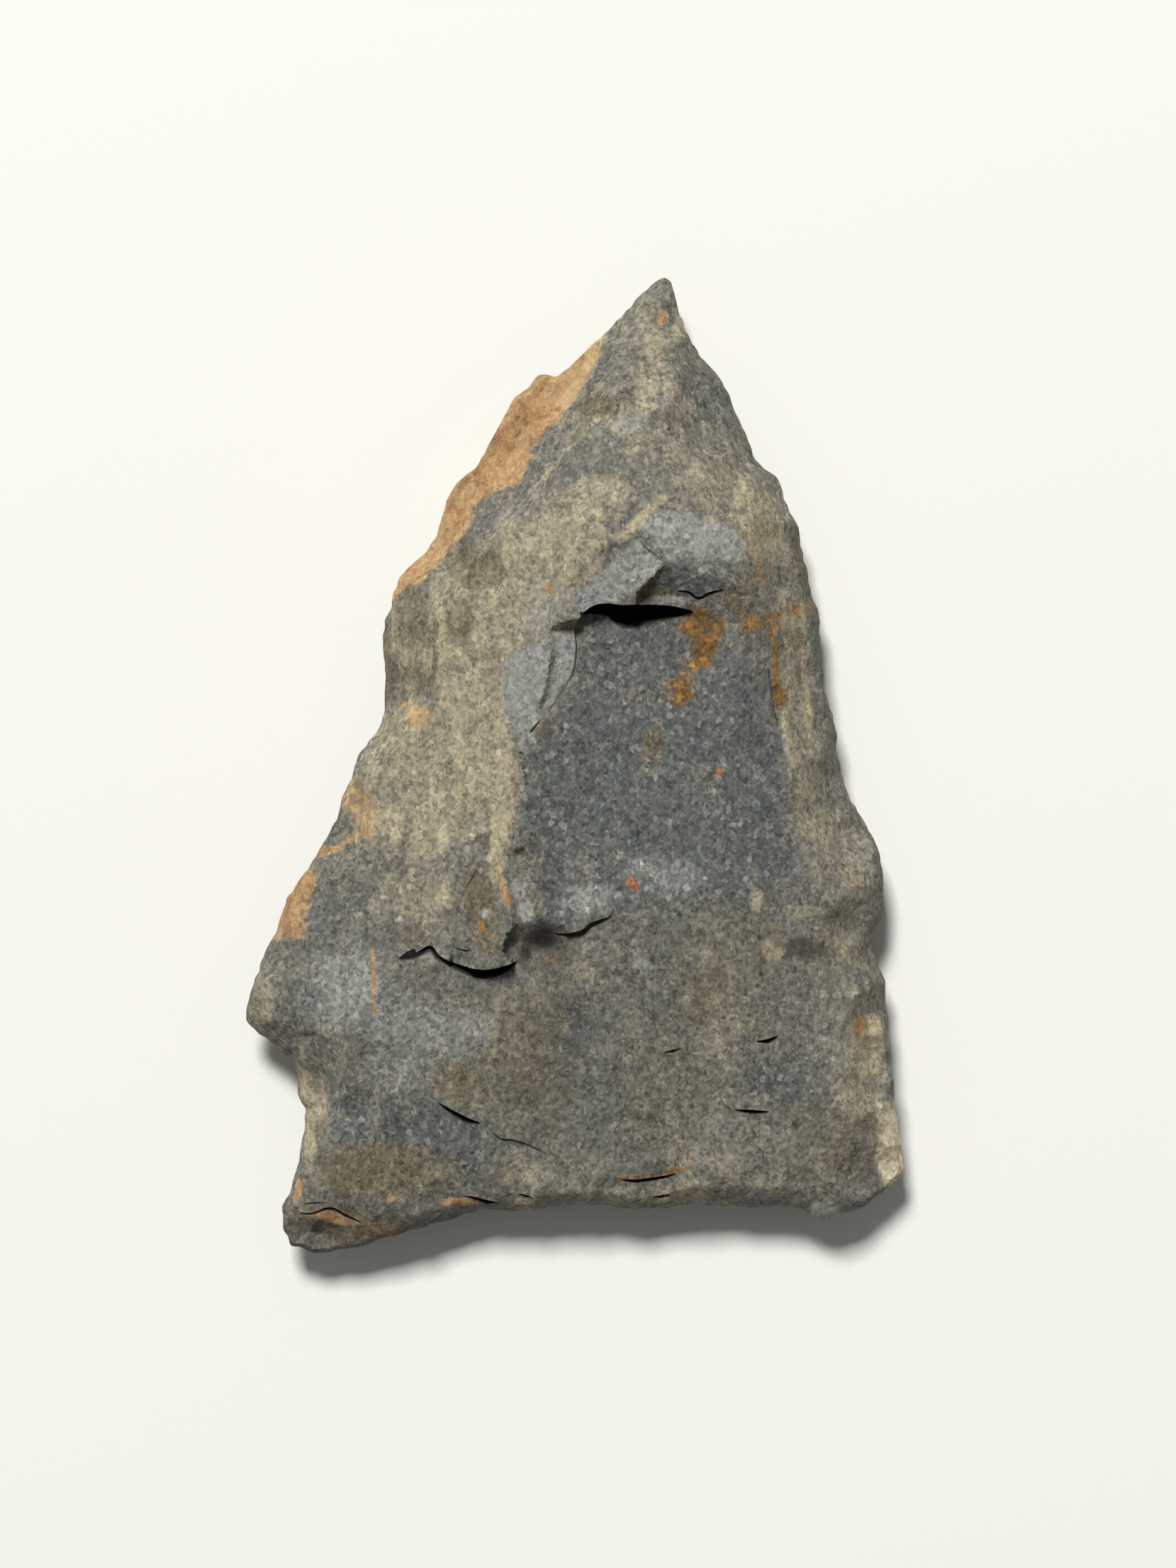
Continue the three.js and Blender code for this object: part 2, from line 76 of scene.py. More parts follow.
@lru_cache(maxsize=None)
def lattice(seed: int) -> np.ndarray:
    """A square table of seeded random values from -1 to 1."""
    return np.random.default_rng(seed).uniform(-1.0, 1.0, (256, 256))


def noise(x: np.ndarray, y: np.ndarray, size: float, seed: int) -> np.ndarray:
    """Smooth random relief.

    Args:
        x: places along X in millimetres.
        y: places along Y in millimetres.
        size: the width of one bump in millimetres.
        seed: which relief.

    Returns:
        Values from -1 to 1.
    """
    u, v = x / size, y / size
    i, j = np.floor(u).astype(int), np.floor(v).astype(int)
    fu, fv = u - i, v - j
    fu, fv = fu * fu * (3 - 2 * fu), fv * fv * (3 - 2 * fv)
    table = lattice(seed)

    def corner(a: int, b: int) -> np.ndarray:
        """The lattice values a steps right and b steps up."""
        return table[(i + a) & 255, (j + b) & 255]

    low = corner(0, 0) * (1 - fu) + corner(1, 0) * fu
    high = corner(0, 1) * (1 - fu) + corner(1, 1) * fu
    return low * (1 - fv) + high * fv


def fractal(x: np.ndarray, y: np.ndarray, size: float, seed: int, octaves: int = 3) -> np.ndarray:
    """Noise summed over halving sizes.

    Args:
        x: places along X in millimetres.
        y: places along Y in millimetres.
        size: the width of the largest bump.
        seed: which relief.
        octaves: how many sizes.

    Returns:
        Values of about -1 to 1.
    """
    total = np.zeros_like(x)
    for k in range(octaves):
        total += 0.5**k * noise(x, y, size / 2**k, seed + k)
    return total / 1.5


def ease(value: np.ndarray, low: float, high: float) -> np.ndarray:
    """A smooth step from 0 at low to 1 at high."""
    t = np.clip((value - low) / (high - low), 0.0, 1.0)
    return t * t * (3 - 2 * t)


def soft_min(a: np.ndarray, b: np.ndarray, width: float) -> np.ndarray:
    """The lower of two heights, with the arris between them worn over width."""
    h = np.clip(0.5 + 0.5 * (b - a) / width, 0.0, 1.0)
    return b + (a - b) * h - width * h * (1 - h)


def inside(loop: np.ndarray, x: np.ndarray, y: np.ndarray) -> np.ndarray:
    """Whether places lie inside a closed loop, by counting crossings."""
    odd = np.zeros(len(x), dtype=bool)
    for (ax, ay), (bx, by) in zip(loop, np.roll(loop, -1, axis=0)):
        if ay == by:
            continue
        crosses = (ay > y) != (by > y)
        odd ^= crosses & (x < (bx - ax) * (y - ay) / (by - ay) + ax)
    return odd


def line_distance(line: np.ndarray, x: np.ndarray, y: np.ndarray) -> np.ndarray:
    """The distance from places to the nearest stretch of an open line."""
    best = np.full(len(x), np.inf)
    for (ax, ay), (bx, by) in zip(line[:-1], line[1:]):
        dx, dy = bx - ax, by - ay
        t = np.clip(((x - ax) * dx + (y - ay) * dy) / (dx * dx + dy * dy), 0.0, 1.0)
        best = np.minimum(best, np.hypot(x - ax - t * dx, y - ay - t * dy))
    return best


def smooth_line(points: Line, step: float) -> np.ndarray:
    """A curve through points, sampled at even distances.

    Args:
        points: the places that the curve passes.
        step: the distance between samples.

    Returns:
        The samples, from the first point to the last.
    """
    p = np.array(points, float)
    p = np.vstack([2 * p[0] - p[1], p, 2 * p[-1] - p[-2]])
    t = np.linspace(0.0, 1.0, 12, endpoint=False)[:, None]
    pieces = []
    for a, b, c, d in zip(p[:-3], p[1:-2], p[2:-1], p[3:]):
        slope_b, slope_c = (c - a) / 2, (d - b) / 2
        pieces.append(
            (2 * t**3 - 3 * t**2 + 1) * b
            + (t**3 - 2 * t**2 + t) * slope_b
            + (3 * t**2 - 2 * t**3) * c
            + (t**3 - t**2) * slope_c
        )
    return resample(np.vstack([*pieces, p[-2][None]]), step)


def resample(line: np.ndarray, step: float) -> np.ndarray:
    """An open line sampled again at even distances of about step."""
    run = np.concatenate([[0.0], np.cumsum(np.hypot(*np.diff(line, axis=0).T))])
    count = max(3, int(round(run[-1] / step)) + 1)
    at = np.linspace(0.0, run[-1], count)
    return np.column_stack([np.interp(at, run, line[:, 0]), np.interp(at, run, line[:, 1])])


# ---- The outline -----------------------------------------------------------


@dataclass(frozen=True)
class Outline:
    """The worked edge, clockwise from the tip, in millimetres.

    Each stretch runs on from the one before, and the last ends at the tip.
    """

    tip_right: Line = (
        (4.2, 23), (4.5, 22.8), (4.75, 22), (5.1, 20.9), (5.45, 20), (5.7, 19.5), (5.85, 19.2),
        (6.05, 19.15), (6.7, 18.4), (7.3, 17.5), (7.7, 16.4), (8.3, 15), (8.4, 14.5),
    )  # fmt: skip
    right_blade: Line = (
        (8.75, 14.2), (8.95, 13.9), (9.25, 13.8), (9.5, 13.6), (9.8, 12.6), (10.5, 11.2),
        (10.55, 10.7), (10.8, 9.5), (11, 9.05), (11, 8.7), (11.3, 7.7), (11.5, 7.2), (11.55, 5.4),
        (11.8, 3.4), (12.1, 2.4), (12.4, 0.6), (12.6, -0.8),
    )  # fmt: skip
    right_shoulder: Line = (
        (12.9, -1.5), (13.7, -2.7), (14.3, -4), (14.5, -5.4), (14.45, -7), (14.2, -7.6),
        (14, -8.1), (14, -8.7),
    )  # fmt: skip
    right_stem: Line = (
        (14.2, -9.2), (14.55, -9.9), (14.7, -11.6), (14.8, -13.4), (14.7, -14.1), (14.9, -14.45),
        (15.05, -15.6), (15.05, -16), (15.2, -16.7), (15.35, -18.1), (15.5, -19),
    )  # fmt: skip
    right_corner: Line = (
        (15.3, -19.45), (14.95, -19.8), (14.45, -20.1), (13.5, -20.8), (12.9, -21.05),
        (12.3, -21.2), (11.9, -21.4), (11.4, -21.3), (10.95, -21),
    )  # fmt: skip
    base: Line = (
        (10.3, -20.8), (7.2, -20.8), (6.1, -20.7), (2.8, -20.9), (1.3, -20.7), (0, -20.7),
        (-2.5, -21), (-4.4, -21), (-7, -21.7), (-9.7, -22.5), (-10.5, -22.8), (-12.2, -23),
    )  # fmt: skip
    left_corner: Line = (
        (-12.6, -22.9), (-12.9, -22.7), (-13.4, -22.65), (-13.7, -21.8), (-13.8, -20.7),
        (-13.6, -20.4), (-13.35, -20.05),
    )  # fmt: skip
    notch: Line = (
        (-13.2, -19.4), (-13, -18.8), (-12.8, -17.3), (-12.75, -16.2), (-13.05, -15.5),
        (-13, -14.9), (-13.2, -14.1), (-13.45, -13.7), (-13.75, -13.65), (-14, -13.3),
    )  # fmt: skip
    barb: Line = (
        (-14.5, -12.9), (-15, -12.6), (-15.45, -12), (-15.5, -11.5), (-15.35, -10.8),
        (-14.9, -9.6), (-14.7, -8.9),
    )  # fmt: skip
    left_lower_blade: Line = (
        (-14.3, -8.1), (-13.8, -6.8), (-13.65, -6.2), (-13.1, -5.6), (-12.3, -4.5),
        (-11.5, -3.05), (-11.2, -2.55), (-10.95, -1.5), (-10.45, -0.25), (-10.35, 0.35),
        (-9.55, 1.45), (-9.3, 1.7), (-9, 2.8),
    )  # fmt: skip
    left_upright: Line = (
        (-8.95, 4.2), (-9.05, 5.6), (-8.95, 6.9), (-8.7, 7.4), (-8.45, 8.4), (-8.25, 8.9),
    )  # fmt: skip
    left_upper_blade: Line = (
        (-7.7, 9.4), (-7, 10.05), (-6.45, 10.95), (-6.2, 11.95), (-6, 12.7), (-5.5, 13.35),
        (-4.65, 14), (-4.3, 14.45), (-3.95, 15.2), (-3.55, 16), (-3.1, 16.95), (-2.9, 17.3),
        (-2.15, 17.9), (-1.8, 18.3), (-1.5, 18.45), (-0.85, 18.3),
    )  # fmt: skip
    tip_left: Line = (
        (-0.5, 18.6), (0.4, 19.4), (1.3, 20.2), (2.1, 21.1), (2.9, 22), (3.55, 22.6), (4, 22.95),
    )  # fmt: skip

    def corners(self) -> np.ndarray:
        """All the outline's points in order, as rows of X and Y."""
        stretches = (
            self.tip_right, self.right_blade, self.right_shoulder, self.right_stem,
            self.right_corner, self.base, self.left_corner, self.notch, self.barb,
            self.left_lower_blade, self.left_upright, self.left_upper_blade, self.tip_left,
        )  # fmt: skip
        return np.array([point for stretch in stretches for point in stretch])


@dataclass
class Rim:
    """The sharp edge as a fine closed ring, with its small chips.

    Attributes:
        outline: the worked edge.
        step: distance between ring points.
        chip: how deep the smallest chips bite.
        jag: how far the edge zigzags between the chips.
    """

    outline: Outline
    step: float = 0.13
    chip: float = 0.075
    jag: float = 0.035
    ring: np.ndarray = field(init=False)
    place: np.ndarray = field(init=False)
    tree: KDTree = field(init=False)

    def __post_init__(self) -> None:
        """Samples the ring, chips it and indexes it."""
        corners = self.outline.corners()
        line = resample(np.vstack([corners, corners[:1]]), self.step)[:-1]
        soft = (np.roll(line, 1, 0) + 2 * line + np.roll(line, -1, 0)) / 4
        self.place = np.arange(len(soft)) * self.step
        ahead = np.roll(soft, -1, 0) - np.roll(soft, 1, 0)
        out = np.column_stack([-ahead[:, 1], ahead[:, 0]])
        out /= np.hypot(*out.T)[:, None]
        wander = fractal(self.place, 0 * self.place, 1.3, 11, 3)
        nick = np.maximum(0.0, noise(self.place, 0 * self.place, 0.9, 17) - 0.35)
        zigzag = noise(self.place, 0 * self.place, 0.34, 19)
        from_tip = ease(np.hypot(*(soft - corners[0]).T), 0.3, 2.2)
        bite = self.chip * (wander - 1.6 * nick) + self.jag * zigzag
        self.ring = soft + out * (from_tip * bite)[:, None]
        self.tree = KDTree(len(self.ring))
        for i, (x, y) in enumerate(self.ring):
            self.tree.insert((x, y, 0.0), i)
        self.tree.balance()

    def nearest(self, xy: np.ndarray) -> tuple[np.ndarray, np.ndarray]:
        """The nearest edge to each place.

        Args:
            xy: rows of X and Y.

        Returns:
            How far the edge is, and how far along the outline.
        """
        index = np.array([self.tree.find((x, y, 0.0))[1] for x, y in xy])
        count = len(self.ring)
        best = np.hypot(*(xy - self.ring[index]).T)
        for start in (index, (index - 1) % count):
            a, b = self.ring[start], self.ring[(start + 1) % count]
            ab = b - a
            t = np.clip(((xy - a) * ab).sum(1) / (ab * ab).sum(1), 0.0, 1.0)
            best = np.minimum(best, np.hypot(*(xy - a - t[:, None] * ab).T))
        return best, self.place[index]


# ---- Flake scars -----------------------------------------------------------


class Face(Enum):
    """The two faces of the stone, with the sign of their outward Z."""

    UPPER = 1
    UNDER = -1


@dataclass(frozen=True)
class Scar:
    """The floor that one struck flake left.

    Attributes:
        at: X, Y and Z of a point of the floor.
        rise: how the floor climbs per millimetre of X and of Y.
        span: half lengths of the scar's ellipse.
        turn: the ellipse's turn in degrees.
        dish: how far the floor has curved out of the stone at the ellipse.
        outline: the scar's own outline, in place of an ellipse.
        cup: with an outline, the floor's curve per millimetre squared of X and Y.
        feather: with an outline, the width over which its border fades out.
    """

    at: Triple
    rise: Pair
    span: Pair = (0.0, 0.0)
    turn: float = 0.0
    dish: float = 0.0
    outline: Line = ()
    cup: Pair = (0.0, 0.0)
    feather: float = 0.0

    def floor(self, x: np.ndarray, y: np.ndarray, side: int) -> tuple[np.ndarray, np.ndarray]:
        """The floor's height and reach.

        Args:
            x: places along X.
            y: places along Y.
            side: 1 on the upper face, -1 underneath.

        Returns:
            The floor's heights, and how fully the scar reaches each place, 0 to 1.
        """
        dx, dy = x - self.at[0], y - self.at[1]
        plane = self.at[2] + self.rise[0] * dx + self.rise[1] * dy
        if self.outline:
            bow = self.cup[0] * dx**2 + self.cup[1] * dy**2
            loop = np.array(self.outline)
            reached = inside(loop, x, y).astype(float)
            if self.feather:
                border = line_distance(np.vstack([loop, loop[:1]]), x, y)
                reached *= ease(border, 0.0, self.feather)
            return plane + side * bow, reached
        angle = math.radians(self.turn)
        u = dx * math.cos(angle) + dy * math.sin(angle)
        v = dy * math.cos(angle) - dx * math.sin(angle)
        reach = (u / self.span[0]) ** 2 + (v / self.span[1]) ** 2
        return plane + side * self.dish * reach, (reach < 1.0).astype(float)


# Lines that a step, a scar's outline and a crack with dark earth and painted shading share.
UPPER_STEP: Line = (
    (0.35, 6.98), (0.8, 7.3), (1.4, 7.44), (2.3, 7.36), (3.4, 7.4), (4.5, 7.33), (5.5, 7.1),
)  # fmt: skip
LOWER_CRACK: Line = (
    (-8.25, -9), (-7.4, -8.75), (-6.75, -8.42), (-6.35, -8.85), (-5.9, -9.1), (-5.4, -9.3),
    (-4.5, -9.5), (-3.7, -9.45), (-2.7, -9.15),
)  # fmt: skip
LOWER_STEP: Line = ((-0.95, -7.85), (-0.2, -7.8), (0.35, -7.65), (0.7, -7.35), (1.6, -7.05))
SCAR_RIM: Line = (
    (-2.6, 0.9), (-1.75, 1.95), (-1.15, 2.65), (-0.45, 3.7), (-0.05, 4.5), (0.05, 5.6), (0, 6.3),
    (0.35, 6.98),
)  # fmt: skip

UPPER_SCARS: dict[str, Scar] = {
    "long scar with the stepped head": Scar(
        at=(3.6, 0.5, 6.2), rise=(0.02, 0), cup=(0.014, 0.0014),
        outline=UPPER_STEP + (
            (6.4, 7), (7.5, 6.8), (8.4, 6.2), (8.9, 4.7), (9.1, 3), (9.5, 1.5), (9.9, 0),
            (10.6, -4), (9.5, -10), (1.5, -12), (-1.6, -9), (-1.9, -4), (-2.2, -1),
        ) + SCAR_RIM[:-1],
    ),
    "slope down into the long scar": Scar(
        at=(-1.9, -2.5, 6.55), rise=(-0.3, 0.03), cup=(0.02, 0), feather=0.5,
        outline=(
            (-4.6, 0.4), (-2.7, 1), (-0.8, 0.4), (-0.4, -4), (-0.6, -8), (-1.9, -7.8), (-3, -6.6),
            (-3.5, -5), (-4.2, -3),
        ),
    ),
    "stepped thinning of the base": Scar(
        at=(0, -14, 4.95), rise=(0, 0.17),
        outline=((-17, -9.4), (-9.6, -9.2)) + LOWER_CRACK
        + ((-2.3, -8.4), (-1.8, -7.9)) + LOWER_STEP
        + ((5, -2), (9, 1), (17, 1), (17, -25), (-17, -25)),
    ),
    "hollow at the tongue's right corner": Scar(
        at=(-1.7, -8.35, 5.55), rise=(0, 0.12), span=(1.5, 1.3), turn=12, dish=0.6,
    ),
    "steep facet over the step": Scar(
        at=(5.6, 8.6, 7.36), rise=(-0.05, 0.7), feather=0.08,
        outline=(
            (2.9, 7.8), (3.1, 8.15), (3.7, 8.75), (4.2, 9.35), (4.5, 9.9), (7, 9.9), (8.9, 9.3),
            (9.2, 8.4), (8.5, 7.7), (6.9, 7.8), (5.6, 7.6), (4.4, 7.75),
        ),
    ),
    "ledge on the step's lip": Scar(
        at=(4.4, 7.6, 6.93), rise=(-0.03, 0.12), feather=0.1,
        outline=((2.7, 6.9), (2.9, 8.1), (4.4, 7.95), (5.7, 7.85), (5.8, 6.7), (4, 6.6)),
    ),
    "apron east of the step": Scar(
        at=(6.8, 7.4, 6.62), rise=(0.04, 0.45), feather=0.35,
        outline=((5, 6.5), (5.3, 8), (6.9, 8.3), (8.8, 8.4), (9.2, 6.4), (6.8, 6.3)),
    ),
    "pale facet beside the steep one": Scar(
        at=(1.6, 8.8, 7.58), rise=(-0.02, 0.13), feather=0.25,
        outline=(
            (-0.9, 6.7), (-0.7, 8.1), (0.8, 9.6), (2.7, 11), (3.8, 10.5), (4.3, 9.4), (3.3, 8.6),
            (2.9, 8), (2.4, 7.3), (0.6, 6.7),
        ),
    ),
    "pale crest facet": Scar(
        at=(5.6, 10.6, 7.8), rise=(-0.06, -0.16), feather=0.3,
        outline=(
            (2.7, 10.4), (3.3, 12), (5.6, 12.6), (8.2, 11.4), (8.2, 9.6), (7, 9.2), (4.9, 9.2),
            (3.9, 9.2),
        ),
    ),
    "weathered bevel of the upper left edge": Scar(
        at=(-4.1, 14.5, 2.75), rise=(0.62, -0.49), feather=0.5,
        outline=(
            (2.6, 21.3), (2.3, 19.4), (1.7, 17.3), (0.3, 15), (-0.7, 13.5), (-1.3, 12.3),
            (-3.1, 11.1), (-3.7, 10.2), (-4.9, 8.9), (-7.4, 7.6), (-8.9, 8.6), (-7.2, 10.6),
            (-6.5, 13.2), (-4.4, 15.6), (-2.4, 18.7), (-0.2, 19.8),
        ),
    ),
    "broad left face": Scar(
        at=(-5.5, 2, 5.45), rise=(0.32, -0.03), cup=(0.006, 0), feather=0.6,
        outline=(
            (-9.5, 9.4), (-7, 11), (-3.6, 13.2), (-0.6, 12.4), (-0.3, 9.4), (-0.9, 6.6),
            (-0.9, 5.4), (-1.2, 3.4), (-2.3, 1.6), (-2.2, -1), (-2.6, -4.2), (-2.8, -7.6),
            (-4.4, -9.7), (-5.7, -9.2), (-9, -9.2), (-16, -10.5), (-14, -3), (-11, 3),
        ),
    ),
    "pale facet west of the long scar": Scar(
        at=(-0.5, 4.6, 6.52), rise=(-0.18, 0.12), feather=0.3,
        outline=(
            (-1.3, 6.4), (0.6, 7), (0.6, 4.4), (-0.2, 3.4), (-1.6, 1.8), (-1.9, 2.2), (-1.5, 3.5),
            (-1.2, 5),
        ),
    ),
    "second pale facet": Scar(
        at=(-2.5, 3.2, 6.25), rise=(0.3, 0.05), feather=0.5,
        outline=(
            (-3.3, 5.6), (-2, 4.8), (-1.5, 3), (-1.2, 2.2), (-1.9, 1.6), (-2, 0.6), (-2.8, 0.6),
            (-3.4, 1.6), (-4.1, 3.2), (-4, 4.2),
        ),
    ),
    "left edge flake": Scar(at=(-8.1, 6, 3.55), rise=(0.5, 0.02), span=(2.3, 3.5), dish=0.7),
    "round flake under the bevel": Scar(
        at=(-4.7, 9.2, 5.05), rise=(0.3, -0.14), span=(1.9, 1.55), turn=-12, dish=0.6,
    ),
    "lower left edge flake": Scar(
        at=(-11, -3.4, 3.6), rise=(0.42, -0.2), span=(2.2, 3.4), turn=-32, dish=0.7,
    ),
    "left shoulder flake": Scar(
        at=(-12.2, -9.8, 4.3), rise=(0.26, -0.14), span=(4.4, 4.6), turn=-30, dish=0.6,
    ),
    "tongue's left facet": Scar(
        at=(-5.3, -6.6, 5.7), rise=(0.42, 0.02), feather=0.2,
        outline=((-4.2, -4.2), (-4.5, -6), (-4.9, -9.6), (-5.9, -9.3), (-5.6, -6.8), (-4.9, -5)),
    ),
    "tongue's right facet": Scar(
        at=(-2.6, -5.9, 6.3), rise=(-0.2, 0.03), feather=0.4,
        outline=(
            (-3.9, -4.2), (-3.4, -5.6), (-2.9, -7.8), (-1.9, -8.2), (-1.5, -6), (-2.2, -3.6),
        ),
    ),
    "steep right blade flake, upper": Scar(
        at=(10.3, 9.2, 3.9), rise=(-0.95, -0.2), span=(2, 4.6), turn=13, dish=0.7,
    ),
    "steep right blade flake, middle": Scar(
        at=(11, 3.2, 3.9), rise=(-0.85, -0.1), span=(2, 3.8), turn=6, dish=0.7,
    ),
    "steep right blade flake, lower": Scar(
        at=(12.1, -1.6, 3.6), rise=(-0.8, -0.16), span=(2.1, 3.4), turn=14, dish=0.7,
    ),
    "dark flake right of the tip": Scar(
        at=(6.1, 17, 4.1), rise=(-0.6, -0.2), span=(2.1, 2.6), turn=24, dish=0.6,
    ),
    "small flake under the tip": Scar(
        at=(0.9, 16.7, 4.95), rise=(0.3, 0.05), span=(1.2, 0.9), turn=10, dish=0.35,
    ),
    "tip flake": Scar(at=(3.7, 20, 4.25), rise=(-0.06, -0.3), span=(2.6, 3.3), turn=-6, dish=0.5),
    "notch flake": Scar(at=(-12.2, -15.9, 3.5), rise=(0.5, 0), span=(2.4, 3.5), turn=6, dish=1.1),
    "diagonal flake over the notch": Scar(
        at=(-9.4, -14.9, 4.5), rise=(0.06, 0.18), span=(3.8, 1.9), turn=38, dish=0.45,
    ),
    "olive flake": Scar(
        at=(-4.8, -15, 4.72), rise=(-0.05, 0.2), span=(1.9, 1.25), turn=-28, dish=0.25,
    ),
    "small flake at the base": Scar(
        at=(-2.4, -18.9, 3.98), rise=(0.03, 0.24), span=(1.35, 1.1), dish=0.2,
    ),
    "hollow under the right shoulder": Scar(
        at=(13.2, -8.3, 3.9), rise=(-0.45, 0), span=(2, 2.4), dish=0.7,
    ),
    "right shoulder flake": Scar(
        at=(13, -4.6, 3.9), rise=(-0.5, -0.15), span=(1.9, 2.5), turn=15, dish=0.6,
    ),
    "right stem flake": Scar(
        at=(13.9, -13.6, 3.6), rise=(-0.45, 0.05), span=(1.7, 2.8), dish=0.6,
    ),
    "right corner flake": Scar(
        at=(13.8, -18.4, 3.3), rise=(-0.36, 0.28), span=(2, 2.5), turn=28, dish=0.5,
    ),
    "left corner bevel of the base": Scar(
        at=(-11, -21.7, 3.1), rise=(0.12, 0.6), span=(5.2, 1.6), turn=-14, dish=0.4,
    ),
}  # fmt: skip

UNDER_SCARS: dict[str, Scar] = {
    "thinning of the base": Scar(
        at=(0.5, -17, 1.1), rise=(0, -0.17),
        outline=((-13.4, -10.8), (-2, -10.2), (3.5, -10.4), (14.6, -11.4), (17, -24), (-16, -24)),
    ),
    "flake from the upper left edge": Scar(
        at=(-1.7, 12.2, 1.3), rise=(-0.235, 0.186), span=(4.4, 4.8), turn=-38, dish=0.9,
    ),
    "flake from the middle of the left edge": Scar(
        at=(-5.5, 4.4, 1.35), rise=(-0.3, 0), span=(4.6, 5.4), dish=0.9,
    ),
    "flake from the lower left edge": Scar(
        at=(-8.4, -4.6, 1.3), rise=(-0.27, 0.13), span=(4.8, 5.2), turn=-26, dish=0.9,
    ),
    "flake from the left shoulder": Scar(
        at=(-11.4, -11.2, 1.4), rise=(-0.3, 0), span=(5, 3.8), dish=0.9,
    ),
    "flake from the tip": Scar(
        at=(3.6, 17.4, 1.65), rise=(0.04, 0.14), span=(3.1, 6), turn=-12, dish=0.8,
    ),
    "flake from the upper right edge": Scar(
        at=(7.2, 9.4, 1.35), rise=(0.29, 0.08), span=(4.2, 5.2), turn=14, dish=0.9,
    ),
    "flake from the lower right edge": Scar(
        at=(8.7, 1.4, 1.3), rise=(0.3, 0.03), span=(4.6, 4.8), turn=4, dish=0.9,
    ),
    "flake from the right shoulder": Scar(
        at=(10.8, -6.4, 1.3), rise=(0.3, 0), span=(4.8, 4.9), dish=0.9,
    ),
    "flake from the right stem edge": Scar(
        at=(11.6, -14, 1.45), rise=(0.27, -0.04), span=(4.4, 4.2), dish=0.9,
    ),
    "notch flake": Scar(at=(-10.6, -16.8, 1.6), rise=(-0.28, 0), span=(3.4, 3.2), dish=0.8),
}  # fmt: skip


# ---- Cracks and steps ------------------------------------------------------


@dataclass(frozen=True)
class Seam:
    """A crack, or the wall of a step, with its high side on its left.

    Attributes:
        line: the places it passes.
        gape: its width on the low side at even places along it, in millimetres.
        depth: how far its bottom lies under the low side.
        undercut: how far its bottom reaches in under the high side.
        soil: how full of dark earth and painted shading it is, from 0 to 1.
    """

    line: Line
    gape: tuple[float, ...]
    depth: float
    undercut: float = 0.0
    soil: float = 1.0
